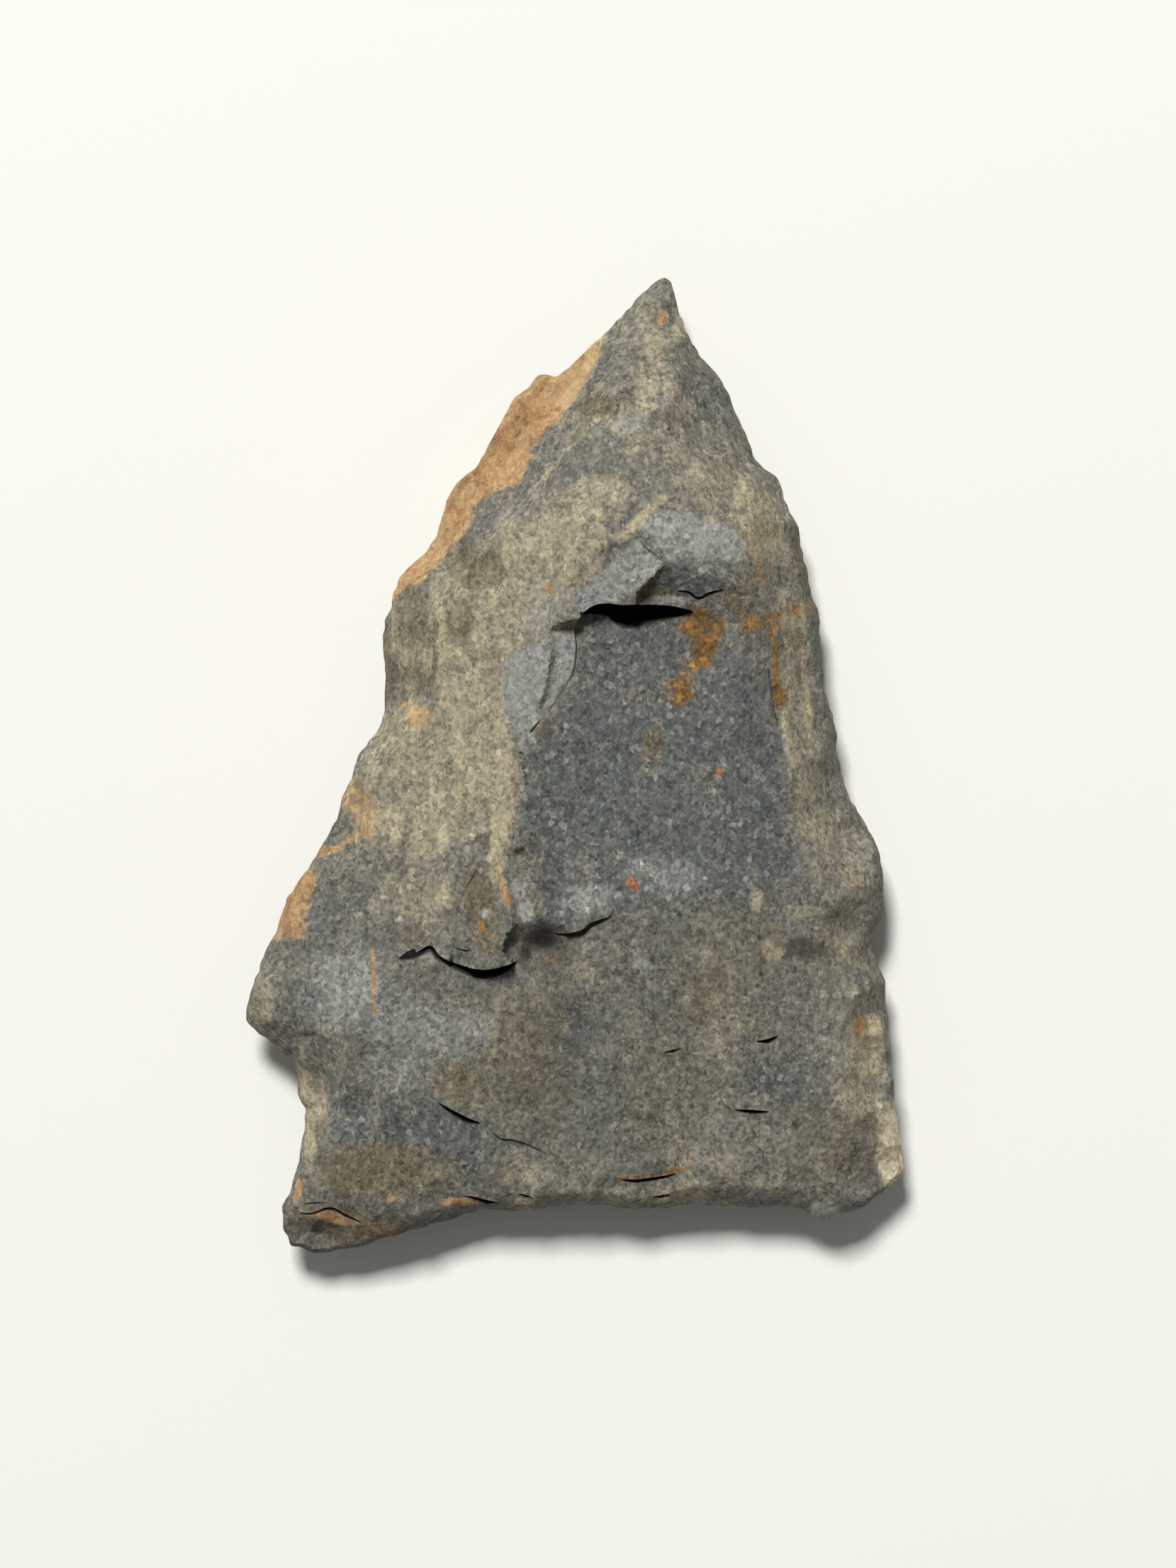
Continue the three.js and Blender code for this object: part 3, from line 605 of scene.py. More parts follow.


# The last number of a seam, when given, is how much dark earth and painted shading lies in it.
SEAMS: dict[str, Seam] = {
    "upper step": Seam(
        UPPER_STEP, (0.1, 0.3, 0.44, 0.52, 0.86, 1.04, 0.96, 0.9, 0.84, 0.7, 0.55, 0.3, 0.08),
        1.1, 0.7,
    ),
    "lower crack": Seam(
        LOWER_CRACK, (0.14, 0.22, 0.2, 0.15, 0.2, 0.36, 0.42, 0.34, 0.14), 0.8, 0.4,
    ),
    "lower step": Seam(LOWER_STEP, (0.2, 0.16, 0.2, 0.2, 0.08), 0.12, 0.05, 0.42),
    "west wall of the long scar": Seam(
        SCAR_RIM, (0.2, 0.3, 0.36, 0.36, 0.34, 0.3, 0.24, 0.16), 0.02, 0, 0,
    ),
    "crack over the lower step": Seam(
        ((-5.6, -8.5), (-5, -8.62), (-4.6, -8.55)), (0.06, 0.12, 0.06), 0.12, 0.05, 0.4,
    ),
    "tongue's left side": Seam(
        ((-4.2, -4.5), (-4.6, -5.05), (-5, -5.7), (-5.4, -6.6), (-5.6, -7.5)),
        (0.04, 0.08, 0.08, 0.08, 0.04), 0.05, 0, 0.22,
    ),
    "crack in the steep facet": Seam(
        ((4.7, 8.07), (5.25, 8.02), (5.7, 7.75), (6.2, 7.98), (6.9, 8.13)),
        (0.04, 0.07, 0.1, 0.08, 0.04), 0.16, 0.04, 0.6,
    ),
    "base crack, left": Seam(
        ((-6.4, -15.75), (-5.7, -16.15), (-5, -16.5), (-4.4, -16.75)), (0.06, 0.16, 0.24, 0.1),
        0.5, 0.2,
    ),
    "base crack, left end": Seam((
        (-4, -17), (-3.5, -17.45), (-3, -17.5), (-2.2, -17.75), (-1.3, -18.2),
    ), (0.04, 0.1, 0.08, 0.07, 0.04), 0.12, 0, 0.4),
    "base crack, right upper": Seam(
        ((8.4, -12.9), (9, -12.78), (9.5, -12.6)), (0.06, 0.2, 0.08), 0.35, 0.1, 0.85,
    ),
    "base crack, right lower": Seam(
        ((7.4, -16.1), (8.2, -16.12), (9.1, -16.2)), (0.06, 0.17, 0.06), 0.4, 0.12,
    ),
    "base crack, middle": Seam(
        ((4.1, -13.4), (4.6, -13.27), (5, -13.2)), (0.05, 0.12, 0.05), 0.2, 0, 0.6,
    ),
    "crack over the base edge": Seam((
        (2.1, -19.4), (2.8, -19.42), (3.5, -19.35), (4.2, -19.25), (4.8, -19.1),
    ), (0.05, 0.14, 0.16, 0.12, 0.04), 0.35, 0.1, 0.8),
    "small crack at the base edge": Seam(
        ((3.6, -20.25), (4, -20.2), (4.5, -20.1)), (0.05, 0.1, 0.05), 0.2, 0, 0.7,
    ),
    "left corner crack, lower": Seam((
        (-13, -21), (-12.4, -21.02), (-11.5, -20.72), (-10.8, -21.05), (-10, -21.5),
    ), (0.05, 0.12, 0.08, 0.12, 0.05), 0.16, 0.05, 0.42),
    "left corner crack, upper": Seam(
        ((-12.9, -20.62), (-12.2, -20.5), (-11.6, -20.5)), (0.04, 0.06, 0.04), 0.08, 0, 0.3,
    ),
    "crack of the base's crease": Seam(
        ((-5.3, -20.18), (-4.7, -20.26), (-4.3, -20.38), (-3.6, -20.55)), (0.04, 0.1, 0.16, 0.05),
        0.3, 0.12, 0.75,
    ),
    "short crack by the crease": Seam(
        ((-2.7, -20.05), (-2.3, -20.15), (-1.9, -20.3)), (0.04, 0.1, 0.04), 0.2, 0, 0.6,
    ),
    "line between the pale facets": Seam(
        ((2.93, 10.4), (3.3, 10), (3.7, 9.7), (4.05, 9.35)), (0.04, 0.07, 0.07, 0.05), 0.07, 0,
        0.45,
    ),
    "right ridge line": Seam(
        ((9.9, -0.2), (9.45, 1.8), (9.15, 3.2), (8.95, 4.6)), (0.04, 0.1, 0.12, 0.04), 0.06, 0,
        0.2,
    ),
}  # fmt: skip


@dataclass
class Knots:
    """Mesh points before they get their heights.

    Attributes:
        at: where each lies in plan.
        probe: where the face is measured for it.
        drop: how far it then lies under the face.
        shift: how far it moves in plan once the mesh is joined up.
        soil: how much dark earth and painted shading lies on it.
    """

    at: np.ndarray
    probe: np.ndarray
    drop: np.ndarray
    shift: np.ndarray
    soil: np.ndarray

    @staticmethod
    def plain(at: np.ndarray) -> Knots:
        """Points that simply lie on the face."""
        zero = np.zeros(len(at))
        return Knots(at, at.copy(), zero, np.zeros_like(at), zero.copy())

    @staticmethod
    def joined(parts: Sequence[Knots]) -> Knots:
        """Several sets of points as one."""
        return Knots(
            *(np.concatenate([getattr(p, name) for p in parts]) for name in Knots.names())
        )

    @staticmethod
    def names() -> tuple[str, ...]:
        """The names of the arrays, in order."""
        return ("at", "probe", "drop", "shift", "soil")

    def kept(self, keep: np.ndarray) -> Knots:
        """The points for which keep is true."""
        return Knots(*(getattr(self, name)[keep] for name in Knots.names()))


@dataclass(frozen=True)
class SeamCut:
    """Turns a seam into mesh points: a lip, a bottom, a slope and a low side."""

    seam: Seam
    step: float = 0.12
    lip: float = 0.035
    reach: float = 0.07
    levels: tuple[tuple[float, float, float, float], ...] = (
        # across the gape, share of depth, share of undercut, share of dark earth and painted
        # shading
        (0.16, 1.0, 1.0, 1.0),
        (0.78, 0.8, 0.4, 1.0),
        (1.0, 0.0, 0.0, 0.5),
    )

    def build(self) -> tuple[Knots, list[tuple[int, int]], np.ndarray]:
        """Works out the points.

        Returns:
            The points, the edges that the mesh has to keep, and the closed loop
            that no other mesh point may enter.
        """
        line = smooth_line(self.seam.line, self.step)
        ahead = np.gradient(line, axis=0)
        left = np.column_stack([-ahead[:, 1], ahead[:, 0]])
        left /= np.hypot(*left.T)[:, None]
        run = np.linspace(0.0, 1.0, len(line))
        gape = np.interp(run, np.linspace(0.0, 1.0, len(self.seam.gape)), self.seam.gape)
        taper = np.sqrt(np.clip(np.minimum(run, 1 - run) * len(line) * self.step / 0.5, 0, 1))
        gape = np.maximum(gape * taper, 0.02)
        depth = self.seam.depth * taper * np.clip(gape / max(self.seam.gape), 0.0, 1.0) ** 0.6
        middle = slice(1, -1)
        high = line + left * self.lip
        low_probe = line - left * (gape + self.reach)[:, None]
        zero = np.zeros(len(line))
        rows = [
            # The lip row gets a little of the crack's dark earth and painted shading.
            Knots(high, high + left * self.reach, zero, 0 * line, zero + 0.3 * self.seam.soil)
        ]
        for across, deep, under, soil in self.levels:
            rows.append(
                Knots(
                    line - left * (gape * across)[:, None],
                    low_probe,
                    depth * deep,
                    left * (self.seam.undercut * under * depth / self.seam.depth)[:, None],
                    zero + soil * self.seam.soil,
                )
            )
        ends = Knots.plain(line[[0, -1]])
        knots = Knots.joined([ends] + [row.kept(middle) for row in rows])
        count = len(line) - 2
        edges = []
        for row in (0, len(rows) - 1):
            first = 2 + row * count
            chain = [0, *range(first, first + count), 1]
            edges += list(zip(chain[:-1], chain[1:]))
        loop = np.vstack([line[:1], high[middle], line[-1:], rows[-1].at[middle][::-1]])
        return knots, edges, loop


# ---- The faces -------------------------------------------------------------


@dataclass(frozen=True)
class Chip:
    """One small edge chip: where it is, how wide and how deep."""

    at: Pair
    radius: float
    depth: float
    stretch: Pair


@dataclass(frozen=True)
class Sections:
    """The blank's upper face: crest place and height, half width and fall, along Y."""

    y: tuple[float, ...] = (-23.5, -15.0, -9.0, -3.0, 4.0, 9.4, 14.0, 19.0, 23.5)
    ridge: tuple[float, ...] = (0.8, 0.6, -0.5, 0.4, 2.2, 3.0, 2.6, 3.2, 4.1)
    crest: tuple[float, ...] = (4.2, 5.6, 6.8, 7.15, 7.3, 8.1, 7.1, 5.3, 3.1)
    half: tuple[float, ...] = (14.0, 14.0, 14.0, 12.0, 10.5, 9.5, 7.0, 4.0, 1.2)
    fall: tuple[float, ...] = (0.4, 1.0, 1.6, 2.2, 3.0, 3.6, 3.8, 1.6, 0.3)
    blend: float = 3.0

    def along(self, values: tuple[float, ...], y: np.ndarray) -> np.ndarray:
        """Values of the sections at places along Y, with the corners rounded off."""
        fine = np.linspace(self.y[0] - 6, self.y[-1] + 6, 600)
        width = int(self.blend / (fine[1] - fine[0]))
        even = np.convolve(np.interp(fine, self.y, values), np.ones(width) / width, "same")
        return np.interp(y, fine, even)

    def height(self, x: np.ndarray, y: np.ndarray) -> np.ndarray:
        """The face's height over the bench, edges left out."""
        across = (x - self.along(self.ridge, y)) / self.along(self.half, y)
        return self.along(self.crest, y) - self.along(self.fall, y) * across**2


@dataclass
class Relief:
    """Works out the height of either face at any place.

    Attributes:
        rim: the sharp edge.
        sections: the blank's upper face.
        margin: the edge's mean height over the bench.
        wave: how far the edge weaves up and down.
        wave_length: how long one weave is along the outline.
        blunt_rise: height of the crushed strip just inside the edge.
        blunt_run: its width.
        upper_run: distance in which the upper face climbs from the edge.
        under_run: the same underneath.
        belly: what the flat resting land takes off the underside.
        guard: no flake cuts nearer than this to the sharp edge.
        arris: how much the ridges between flakes are worn.
    """

    rim: Rim
    sections: Sections = Sections()
    margin: float = 2.5
    wave: float = 0.22
    wave_length: float = 9.5
    blunt_rise: float = 0.45
    blunt_run: float = 0.35
    upper_run: float = 0.95
    under_run: float = 3.3
    belly: float = 0.35
    guard: float = 0.08
    arris: float = 0.06
    chips: dict[Face, list[Chip]] = field(init=False)

    def __post_init__(self) -> None:
        """Places the small chips along both sides of the edge."""
        self.chips = {face: self.edge_chips(face) for face in Face}

    def edge_chips(self, face: Face) -> list[Chip]:
        """Small chips all along the edge, at seeded random places.

        Args:
            face: the face that they bite into.

        Returns:
            The chips.
        """
        rng = np.random.default_rng(40 + face.value)
        chips = []
        place = 0.0
        while place < self.rim.place[-1]:
            place += rng.uniform(0.7, 2.2)
            index = int(place / self.rim.step) % len(self.rim.ring)
            radius = rng.uniform(0.5, 1.35)
            inward = self.inward(index)
            at = self.rim.ring[index] + inward * radius * rng.uniform(0.2, 0.7)
            depth = radius * rng.uniform(0.2, 0.45)
            chips.append(Chip((at[0], at[1]), radius, depth, (inward[0], inward[1])))
        return chips

    def inward(self, index: int) -> np.ndarray:
        """The direction from a ring point into the stone."""
        ring = self.rim.ring
        ahead = ring[(index + 3) % len(ring)] - ring[index - 3]
        return np.array([ahead[1], -ahead[0]]) / math.hypot(*ahead)

    def edge_height(self, place: np.ndarray) -> np.ndarray:
        """The sharp edge's height over the bench, by place along the outline."""
        weave = self.wave * np.sin(2 * math.pi * place / self.wave_length)
        return self.margin + weave + 0.05 * noise(place, 0 * place, 1.1, 23)

    def chipped(self, face: Face, x: np.ndarray, y: np.ndarray, d: np.ndarray) -> np.ndarray:
        """How much the small chips take off.

        Args:
            face: the chipped face.
            x: places along X.
            y: places along Y.
            d: distance to the edge.

        Returns:
            Depths in millimetres.
        """
        bite = np.zeros_like(x)
        near = np.flatnonzero(d < 2.4)
        for chip in self.chips[face]:
            dx, dy = x[near] - chip.at[0], y[near] - chip.at[1]
            along = dx * chip.stretch[0] + dy * chip.stretch[1]
            aside = dy * chip.stretch[0] - dx * chip.stretch[1]
            reach = (along / (1.25 * chip.radius)) ** 2 + (aside / chip.radius) ** 2
            hollow = chip.depth * np.maximum(0.0, 1 - reach)
            bite[near] = np.maximum(bite[near], hollow)
        return bite * (1 - np.exp(-d / 0.3))

    def strike(
        self, scars: dict[str, Scar], face: Face, x: np.ndarray, y: np.ndarray, z: np.ndarray
    ) -> np.ndarray:
        """Takes the flakes off a face.

        Args:
            scars: the flake scars.
            face: the face that they are on.
            x: places along X.
            y: places along Y.
            z: the face's heights.

        Returns:
            The heights with the scars.
        """
        side = face.value
        warp_x = x + 0.28 * fractal(x, y, 3.0, 61)
        warp_y = y + 0.28 * fractal(x, y, 3.0, 71)
        clear = self.margin + side * (self.wave + self.guard)
        for scar in scars.values():
            u, v = (x, y) if scar.outline else (warp_x, warp_y)
            floor, reached = scar.floor(u, v, side)
            floor = side * np.maximum(side * clear, side * floor)
            cut = side * soft_min(side * z, side * floor, self.arris)
            z = z + (cut - z) * reached
        return z

    def upper(self, xy: np.ndarray) -> np.ndarray:
        """The upper face's heights at rows of X and Y."""
        x, y = xy.T
        d, place = self.rim.nearest(xy)
        edge = self.edge_height(place)
        crushed = edge + self.blunt_rise * (1 - np.exp(-d / self.blunt_run))
        z = crushed + (self.sections.height(x, y) - crushed) * (1 - np.exp(-d / self.upper_run))
        z = self.strike(UPPER_SCARS, Face.UPPER, x, y, z)
        z -= self.chipped(Face.UPPER, x, y, d)
        return z + self.texture(x, y, d)

    def texture(self, x: np.ndarray, y: np.ndarray, d: np.ndarray) -> np.ndarray:
        """The fine relief of the upper face: swells, ripples, lengthwise ribs and grain."""
        swell = 0.09 * fractal(x, y, 4.5, 31, 3)
        ripple = 0.018 * np.sin(np.hypot(x - 3, y + 27) * 2.9 + 2 * noise(x, y, 5.0, 37))
        ribs = 0.03 * fractal(x * 2.6, y * 0.5, 1.6, 41, 2)
        crumbled = 1 + 3 * Spot((-11.6, -22.1), (2.6, 1.2), -10, 1.0, 0.7).cover(x, y)
        pits = 0.035 * crumbled * fractal(x, y, 0.9, 43, 2)
        grain = 0.02 * crumbled * noise(x * 1.2, y, 0.3, 47)
        return (swell + ripple + ribs + pits + grain) * (1 - np.exp(-d / 0.4))

    def under(self, xy: np.ndarray) -> np.ndarray:
        """The underside's heights at rows of X and Y."""
        x, y = xy.T
        d, place = self.rim.nearest(xy)
        edge = self.edge_height(place)
        z = edge - (edge + self.belly) * (1 - np.exp(-d / self.under_run))
        z = self.strike(UNDER_SCARS, Face.UNDER, x, y, np.maximum(z, -self.arris))
        z += self.chipped(Face.UNDER, x, y, d)
        fine = 0.06 * fractal(x, y, 3.5, 83, 3) + 0.03 * fractal(x, y, 0.8, 87, 2)
        ripple = 0.015 * np.sin(np.hypot(x + 20, y + 4) * 2.4)
        z += (fine + ripple) * ease(z, 0.05, 0.6) * (1 - np.exp(-d / 0.4))
        return np.maximum(z, 0.0)


# ---- Colour patches --------------------------------------------------------


@dataclass(frozen=True)
class Spot:
    """An oval patch of colour with a soft, ragged border."""

    at: Pair
    span: Pair
    turn: float = 0.0
    strength: float = 1.0
    soft: float = 0.5

    def cover(self, x: np.ndarray, y: np.ndarray) -> np.ndarray:
        """How strongly the patch covers each place, from 0 to its strength."""
        angle = math.radians(self.turn)
        dx, dy = x - self.at[0], y - self.at[1]
        u = (dx * math.cos(angle) + dy * math.sin(angle)) / self.span[0]
        v = (dy * math.cos(angle) - dx * math.sin(angle)) / self.span[1]
        return self.strength * (1 - ease(np.hypot(u, v), 1 - self.soft, 1 + self.soft))


@dataclass(frozen=True)
class Area:
    """A patch of colour inside an outline, with a border soft millimetres wide."""

    outline: Line
    soft: float = 0.4
    strength: float = 1.0

    def cover(self, x: np.ndarray, y: np.ndarray) -> np.ndarray:
        """How strongly the patch covers each place, from 0 to its strength."""
        loop = np.array(self.outline)
        away = line_distance(np.vstack([loop, loop[:1]]), x, y)
        away = np.where(inside(loop, x, y), -away, away)
        return self.strength * (1 - ease(away, -self.soft, self.soft))


@dataclass(frozen=True)
class Streak:
    """A line of colour of a width in millimetres."""

    line: Line
    width: float
    strength: float = 1.0

    def cover(self, x: np.ndarray, y: np.ndarray) -> np.ndarray:
        """How strongly the streak covers each place, from 0 to its strength."""
        away = line_distance(np.array(self.line), x, y)
        return self.strength * (1 - ease(away, 0.2 * self.width, 0.9 * self.width))


Patch = Spot | Area | Streak


class Stain(Enum):
    """The layers of colour on the stone, by the name of their mesh attribute. The brown layer is
    partly painted shading, and the dark earth in cracks and hollows is partly painted shading too.
    """

    BLUE = "fresh_blue"
    TAN = "tan_patina"
    OLIVE = "olive_patina"
    PALE = "pale_facet"
    OCHRE = "ochre_rind"
    RUST = "rust_stain"
    RED = "red_fleck"
    # Painted shading in hollows, along steps and on facets turned from the window, mixed with
    # brown stains.
    SHADE = "brown_shade"
    # Dark earth in cracks and hollows, which is also their painted shading.
    SOIL = "dark_soil"
    CRUST = "pale_crust"


UPPER_STAINS: dict[Stain, tuple[Patch, ...]] = {
    Stain.BLUE: (
        Area((
            (0.6, 6.8), (5.4, 6.6), (6.8, 5.4), (8.6, 4.4), (9, 2), (9.6, -0.5), (10.4, -4),
            (9, -6.8), (4, -6.4), (0.5, -7.2), (-1.6, -7.4), (-1.9, -4), (-2.1, -1), (-2.4, 0.6),
            (-1, 2.6), (0, 3.8), (0.4, 5.4),
        ), 0.6),
        Spot((10.8, -8.6), (1.2, 0.55), -10), Spot((9.7, -4.8), (0.6, 0.6), 0, 0.9),
        Spot((10, 5.2), (0.35, 0.6), 0, 0.9), Spot((11.6, -0.5), (0.3, 0.8), 0, 0.7),
        Area((
            (-11.4, -14.4), (-9.8, -15.6), (-6.6, -15.4), (-4.6, -16.9), (-3.6, -18),
            (-4.4, -19.2), (-6.2, -18.4), (-9.4, -17.6), (-11.2, -17.4),
        ), 0.6),
        Spot((-12.6, -11.2), (1.4, 1), 40, 0.6, 0.6),
        Spot((-0.2, -12.4), (1.1, 1.9), 12, 0.9, 0.6),
        Spot((-9, -17.3), (2.4, 0.6), -4, 0.6, 0.6), Spot((1.4, -16), (1.6, 2.6), 0, 0.4, 0.7),
        Spot((11.2, -14.7), (4.2, 1.1), 0, 0.8), Spot((3.6, -9.2), (1.4, 2.4), 0, 0.4, 0.7),
        Spot((5.9, 17), (1.3, 1.5), 30, 0.8),
        # Dark fresh stone on the steep facet over the step, laid on strongly partly as painted
        # shading: the facet faces away from the window.
        Area(((3, 8), (4.2, 9.35), (7, 9.45), (8.4, 8.4), (6.9, 8.1), (5.3, 7.7)), 0.2, 0.8),
        Spot((2.4, 14), (1.6, 1.2), 0, 0.6), Spot((8.4, 14), (0.5, 0.9), 20, 0.7),
        Spot((-4.6, -3.9), (0.7, 1.2), 20, 0.8), Spot((-5.4, -1.4), (0.5, 1.6), -12, 0.5),
        Spot((-9.7, 0.7), (0.9, 0.5), 40, 0.9), Spot((-9.6, -6.8), (2.8, 1.8), 30, 0.7, 0.7),
        Spot((13.6, -6), (0.9, 3), 0, 0.15), Spot((-1.2, 14.4), (0.9, 0.6), 40, 0.5),
        Spot((-4.2, 11.4), (0.8, 0.5), 30, 0.7),
    ),
    Stain.TAN: (
        Area((
            (-7.2, 7.6), (-6.4, 9.2), (-3.4, 12), (-0.5, 12.4), (1.8, 10.6), (-0.2, 7.2),
            (-1.2, 5.6), (-1.6, 2.4), (-2.8, 0.8), (-3, -2.4), (-4.4, -4), (-7.4, -4.6),
            (-11, -3.4), (-10.4, -0.2), (-9.2, 2.4), (-6.6, 3.4),
        ), 1.2, 0.9),
        Spot((-7.4, -5.6), (4, 2.6), 20, 0.45, 0.7), Spot((-3.4, -1.2), (0.6, 4.6), -4, 1.1, 0.6),
        Spot((-5.4, 1.4), (0.5, 4), 0, 1.05, 0.7),
        Streak(((-0.7, 6.4), (-1.1, 4.8), (-1.5, 3.2), (-1.8, 2)), 0.3, 1.3),
        Streak(((-6.4, 8.2), (-6.15, 6.4), (-6.2, 4.2), (-6, 2.6)), 0.5, 1.2),
        Streak(((1.3, 20), (0.75, 19), (0.2, 18), (-0.5, 17)), 0.6, 1.2),
        Spot((-1, 10.2), (1.8, 2), 0, 1.15, 0.7), Spot((0.6, 12.2), (2.4, 1.2), 30, 0.8),
        Spot((2.8, 20.2), (1.7, 2.4), 0, 0.58, 0.6), Spot((3, 15.6), (3.4, 3.6), 0, 0.45, 0.7),
        Spot((6, 13.6), (2.6, 1.8), 0, 0.6, 0.7), Spot((8.6, 11.4), (1.4, 2.6), 14, 0.9, 0.6),
        Spot((7.8, 12.6), (0.6, 0.6), 0, 1.3, 0.4), Spot((3.3, 17.2), (0.6, 0.9)),
        Streak(((2.2, 10.4), (3, 11.3), (3.9, 12.3)), 0.4, 1.5),
        Streak(((-2.3, 12.4), (0.2, 15.2), (2.2, 17.8)), 0.16, 0.9),
        Streak(((6.3, 11.3), (6, 10.6), (5.7, 10.1)), 0.4, 1.1),
        Spot((3.5, 7.85), (0.4, 0.18), 20, 0.9),
        Area((
            (9.2, 8.4), (10.6, 8.2), (11.2, 4.6), (11.4, 0.4), (12.2, -3), (11.6, -4.4),
            (10.4, -3), (9.9, 0), (9.2, 3.4),
        ), 0.6, 0.75),
        Streak(((9.7, 2.4), (9.9, 1.2), (10.1, 0)), 0.3, 1.2),
        Streak(((10.6, 7.6), (10.8, 5), (11, 2)), 0.22, 1.2),
        Spot((9.2, -8.6), (0.6, 0.6), 0, 1.2), Spot((8.4, -6.2), (0.3, 0.5), 0, 1.2),
        Spot((10.5, -7), (0.5, 0.4), 0, 0.8), Spot((12.6, -8.6), (1.6, 1.6), 0, 0.6, 0.7),
        Area((
            (14.2, -15.9), (15.2, -15.6), (15.6, -17.4), (15.8, -19.2), (14.6, -20),
            (14.1, -18.8), (14.1, -17.2),
        ), 0.3, 1.5),
        Spot((13.6, -12.5), (1.3, 1), 0, 1.1, 0.6), Spot((12.8, -11), (1.2, 1.4), 0, 0.6, 0.7),
        Spot((12.7, -5.2), (1.4, 2.8), 8, 0.5, 0.7), Spot((-7.7, 5.8), (1.3, 2.6), 0, 0.85),
        Spot((-5.8, 11.6), (2, 1.4), 40, 0.5, 0.7), Spot((13.2, -14), (1.5, 3.2), 0, 0.9, 0.7),
        Spot((-12.1, -16.2), (0.7, 2.4), 0, 0.6, 0.7), Spot((-9.2, -18.5), (0.9, 0.5)),
        Spot((-12.6, -16.6), (0.5, 3), 4, 0.9), Spot((-9.6, -19.2), (3.4, 1), 0, 0.5, 0.6),
        Spot((-5.3, -14.9), (1.3, 1), -20, 0.6, 0.4), Spot((-0.6, -9.6), (2, 0.9), 0, 0.35, 0.7),
        Spot((-3.6, -12), (1.8, 3.2), -14, 0.4, 0.7),
        Spot((6.4, -11.2), (1.6, 3.4), 0, 0.35, 0.7),
        Spot((-2.6, -18.9), (1.2, 0.9), 0, 0.7, 0.4), Spot((0.4, -18.6), (2.4, 1), 0, 0.35, 0.7),
        Spot((2, -20.2), (6, 0.5), 0, 0.5, 0.6), Spot((8.8, -18.6), (5.4, 1.4), 0, 0.35, 0.7),
        Spot((5.6, -19.8), (1, 0.5), 0, 0.8), Spot((-14.6, -10.8), (0.6, 1.6), -10, 0.6),
        Spot((11.9, -21), (0.8, 0.5), 0, 1.4), Spot((-6.1, -6.1), (0.4, 0.9)),
        Spot((-2.4, -20.4), (0.45, 0.22), 0, 1.4), Spot((5, 20.6), (0.4, 0.9), -20),
    ),
    Stain.OLIVE: (
        Area((
            (-8.8, 8.4), (-7, 8.2), (-6.3, 6.6), (-6.4, 4.2), (-7.4, 3), (-9.2, 2.8), (-9.4, 6),
        ), 0.16, 0.55),
        Spot((-4.7, 9.3), (1.6, 1.05), -14, 0.75, 0.2), Spot((-5.3, 6.5), (0.7, 1), 0, 0.9),
        Spot((1, 16.8), (1, 0.6), 10, 0.9, 0.4), Spot((8.7, -8), (1.2, 1.9), 0, 0.5, 0.8),
        Spot((6.2, -10.4), (2, 2.6), 0, 0.6, 0.7), Spot((-2, -13.4), (2.4, 3.4), 0, 0.6, 0.7),
        Spot((4, -15), (2.6, 3), 0, 0.5, 0.7), Spot((3.6, 0.9), (0.4, 0.9), -10, 1, 0.7),
        Spot((-9, -18.9), (3.4, 1.3), 0, 0.9), Spot((12.2, -17.4), (2.4, 2.4), 0, 0.5, 0.7),
        Spot((-4.3, -6.6), (0.9, 2), 8, 1, 0.4), Spot((10.7, 9.4), (0.5, 2), 10, 0.8),
        Spot((-5.2, -15), (1.5, 1.1), -20, 0.7, 0.4), Spot((7.6, 7.7), (1, 0.8), 0, 0.8),
        Spot((3.5, 7.85), (0.7, 0.3), 20, 0.9, 0.4), Spot((8.2, 8.6), (0.7, 0.5), -30, 0.7, 0.6),
        Spot((-7.6, -7.9), (0.9, 0.5), 0, 0.5), Spot((-10.2, -21.7), (3.2, 0.8), -12, 0.9, 0.6),
    ),
    Stain.PALE: (
        Area((
            (3.1, 11.2), (4.2, 11.8), (5.4, 11.7), (7.2, 11), (7.9, 10.1), (7.5, 9.25),
            (6.9, 9.5), (5, 9.5), (4.2, 9.4), (3.1, 10.4),
        ), 0.16, 0.72),
        Area((
            (2.9, 10.45), (4.1, 9.4), (3.3, 8.4), (2.3, 7.7), (1.4, 7.42), (0.5, 7.1), (0.1, 7),
            (-0.3, 7.6), (0.85, 8.65), (1.9, 9.5),
        ), 0.14, 0.85),
        Area((
            (-3.3, 4.7), (-2.7, 5.4), (-1.8, 5.7), (-0.75, 6.3), (0.1, 5.9), (0, 4.5),
            (-0.4, 3.7), (-1.1, 2.7), (-1.75, 2), (-2.1, 1.1), (-2.5, 0.95), (-3, 1.8),
            (-3.5, 3.6),
        ), 0.28, 0.85),
        Area((
            (-1.3, 9.5), (-0.3, 8.2), (-0.2, 7.2), (-0.8, 6.3), (-1.9, 5.7), (-2.7, 6.4),
            (-2.2, 8),
        ), 0.5, 0.45),
        Area((
            (-12.6, -8.8), (-9.6, -8.6), (-7.6, -10.6), (-4, -11.4), (-3.6, -13), (-6.6, -13.8),
            (-8.2, -15.2), (-10, -14.8), (-9.6, -12.6), (-12, -11.6),
        ), 1, 0.62),
        Spot((2.6, 15.8), (0.6, 0.4), 0, 0.7),
        Streak(((-2.7, -5.6), (-2.4, -6.6), (-2.1, -7.4)), 0.6, 0.6),
        Spot((0.6, -6.2), (1.4, 0.8), 10, 0.7, 0.6),
        Streak(((9.5, 1.7), (9.7, 1), (9.9, 0.2)), 0.2, 0.7),
        Spot((-4.2, -6.93), (0.25, 0.25), 0, 0.9), Spot((2.9, -4.6), (0.3, 0.3), 0, 0.9),
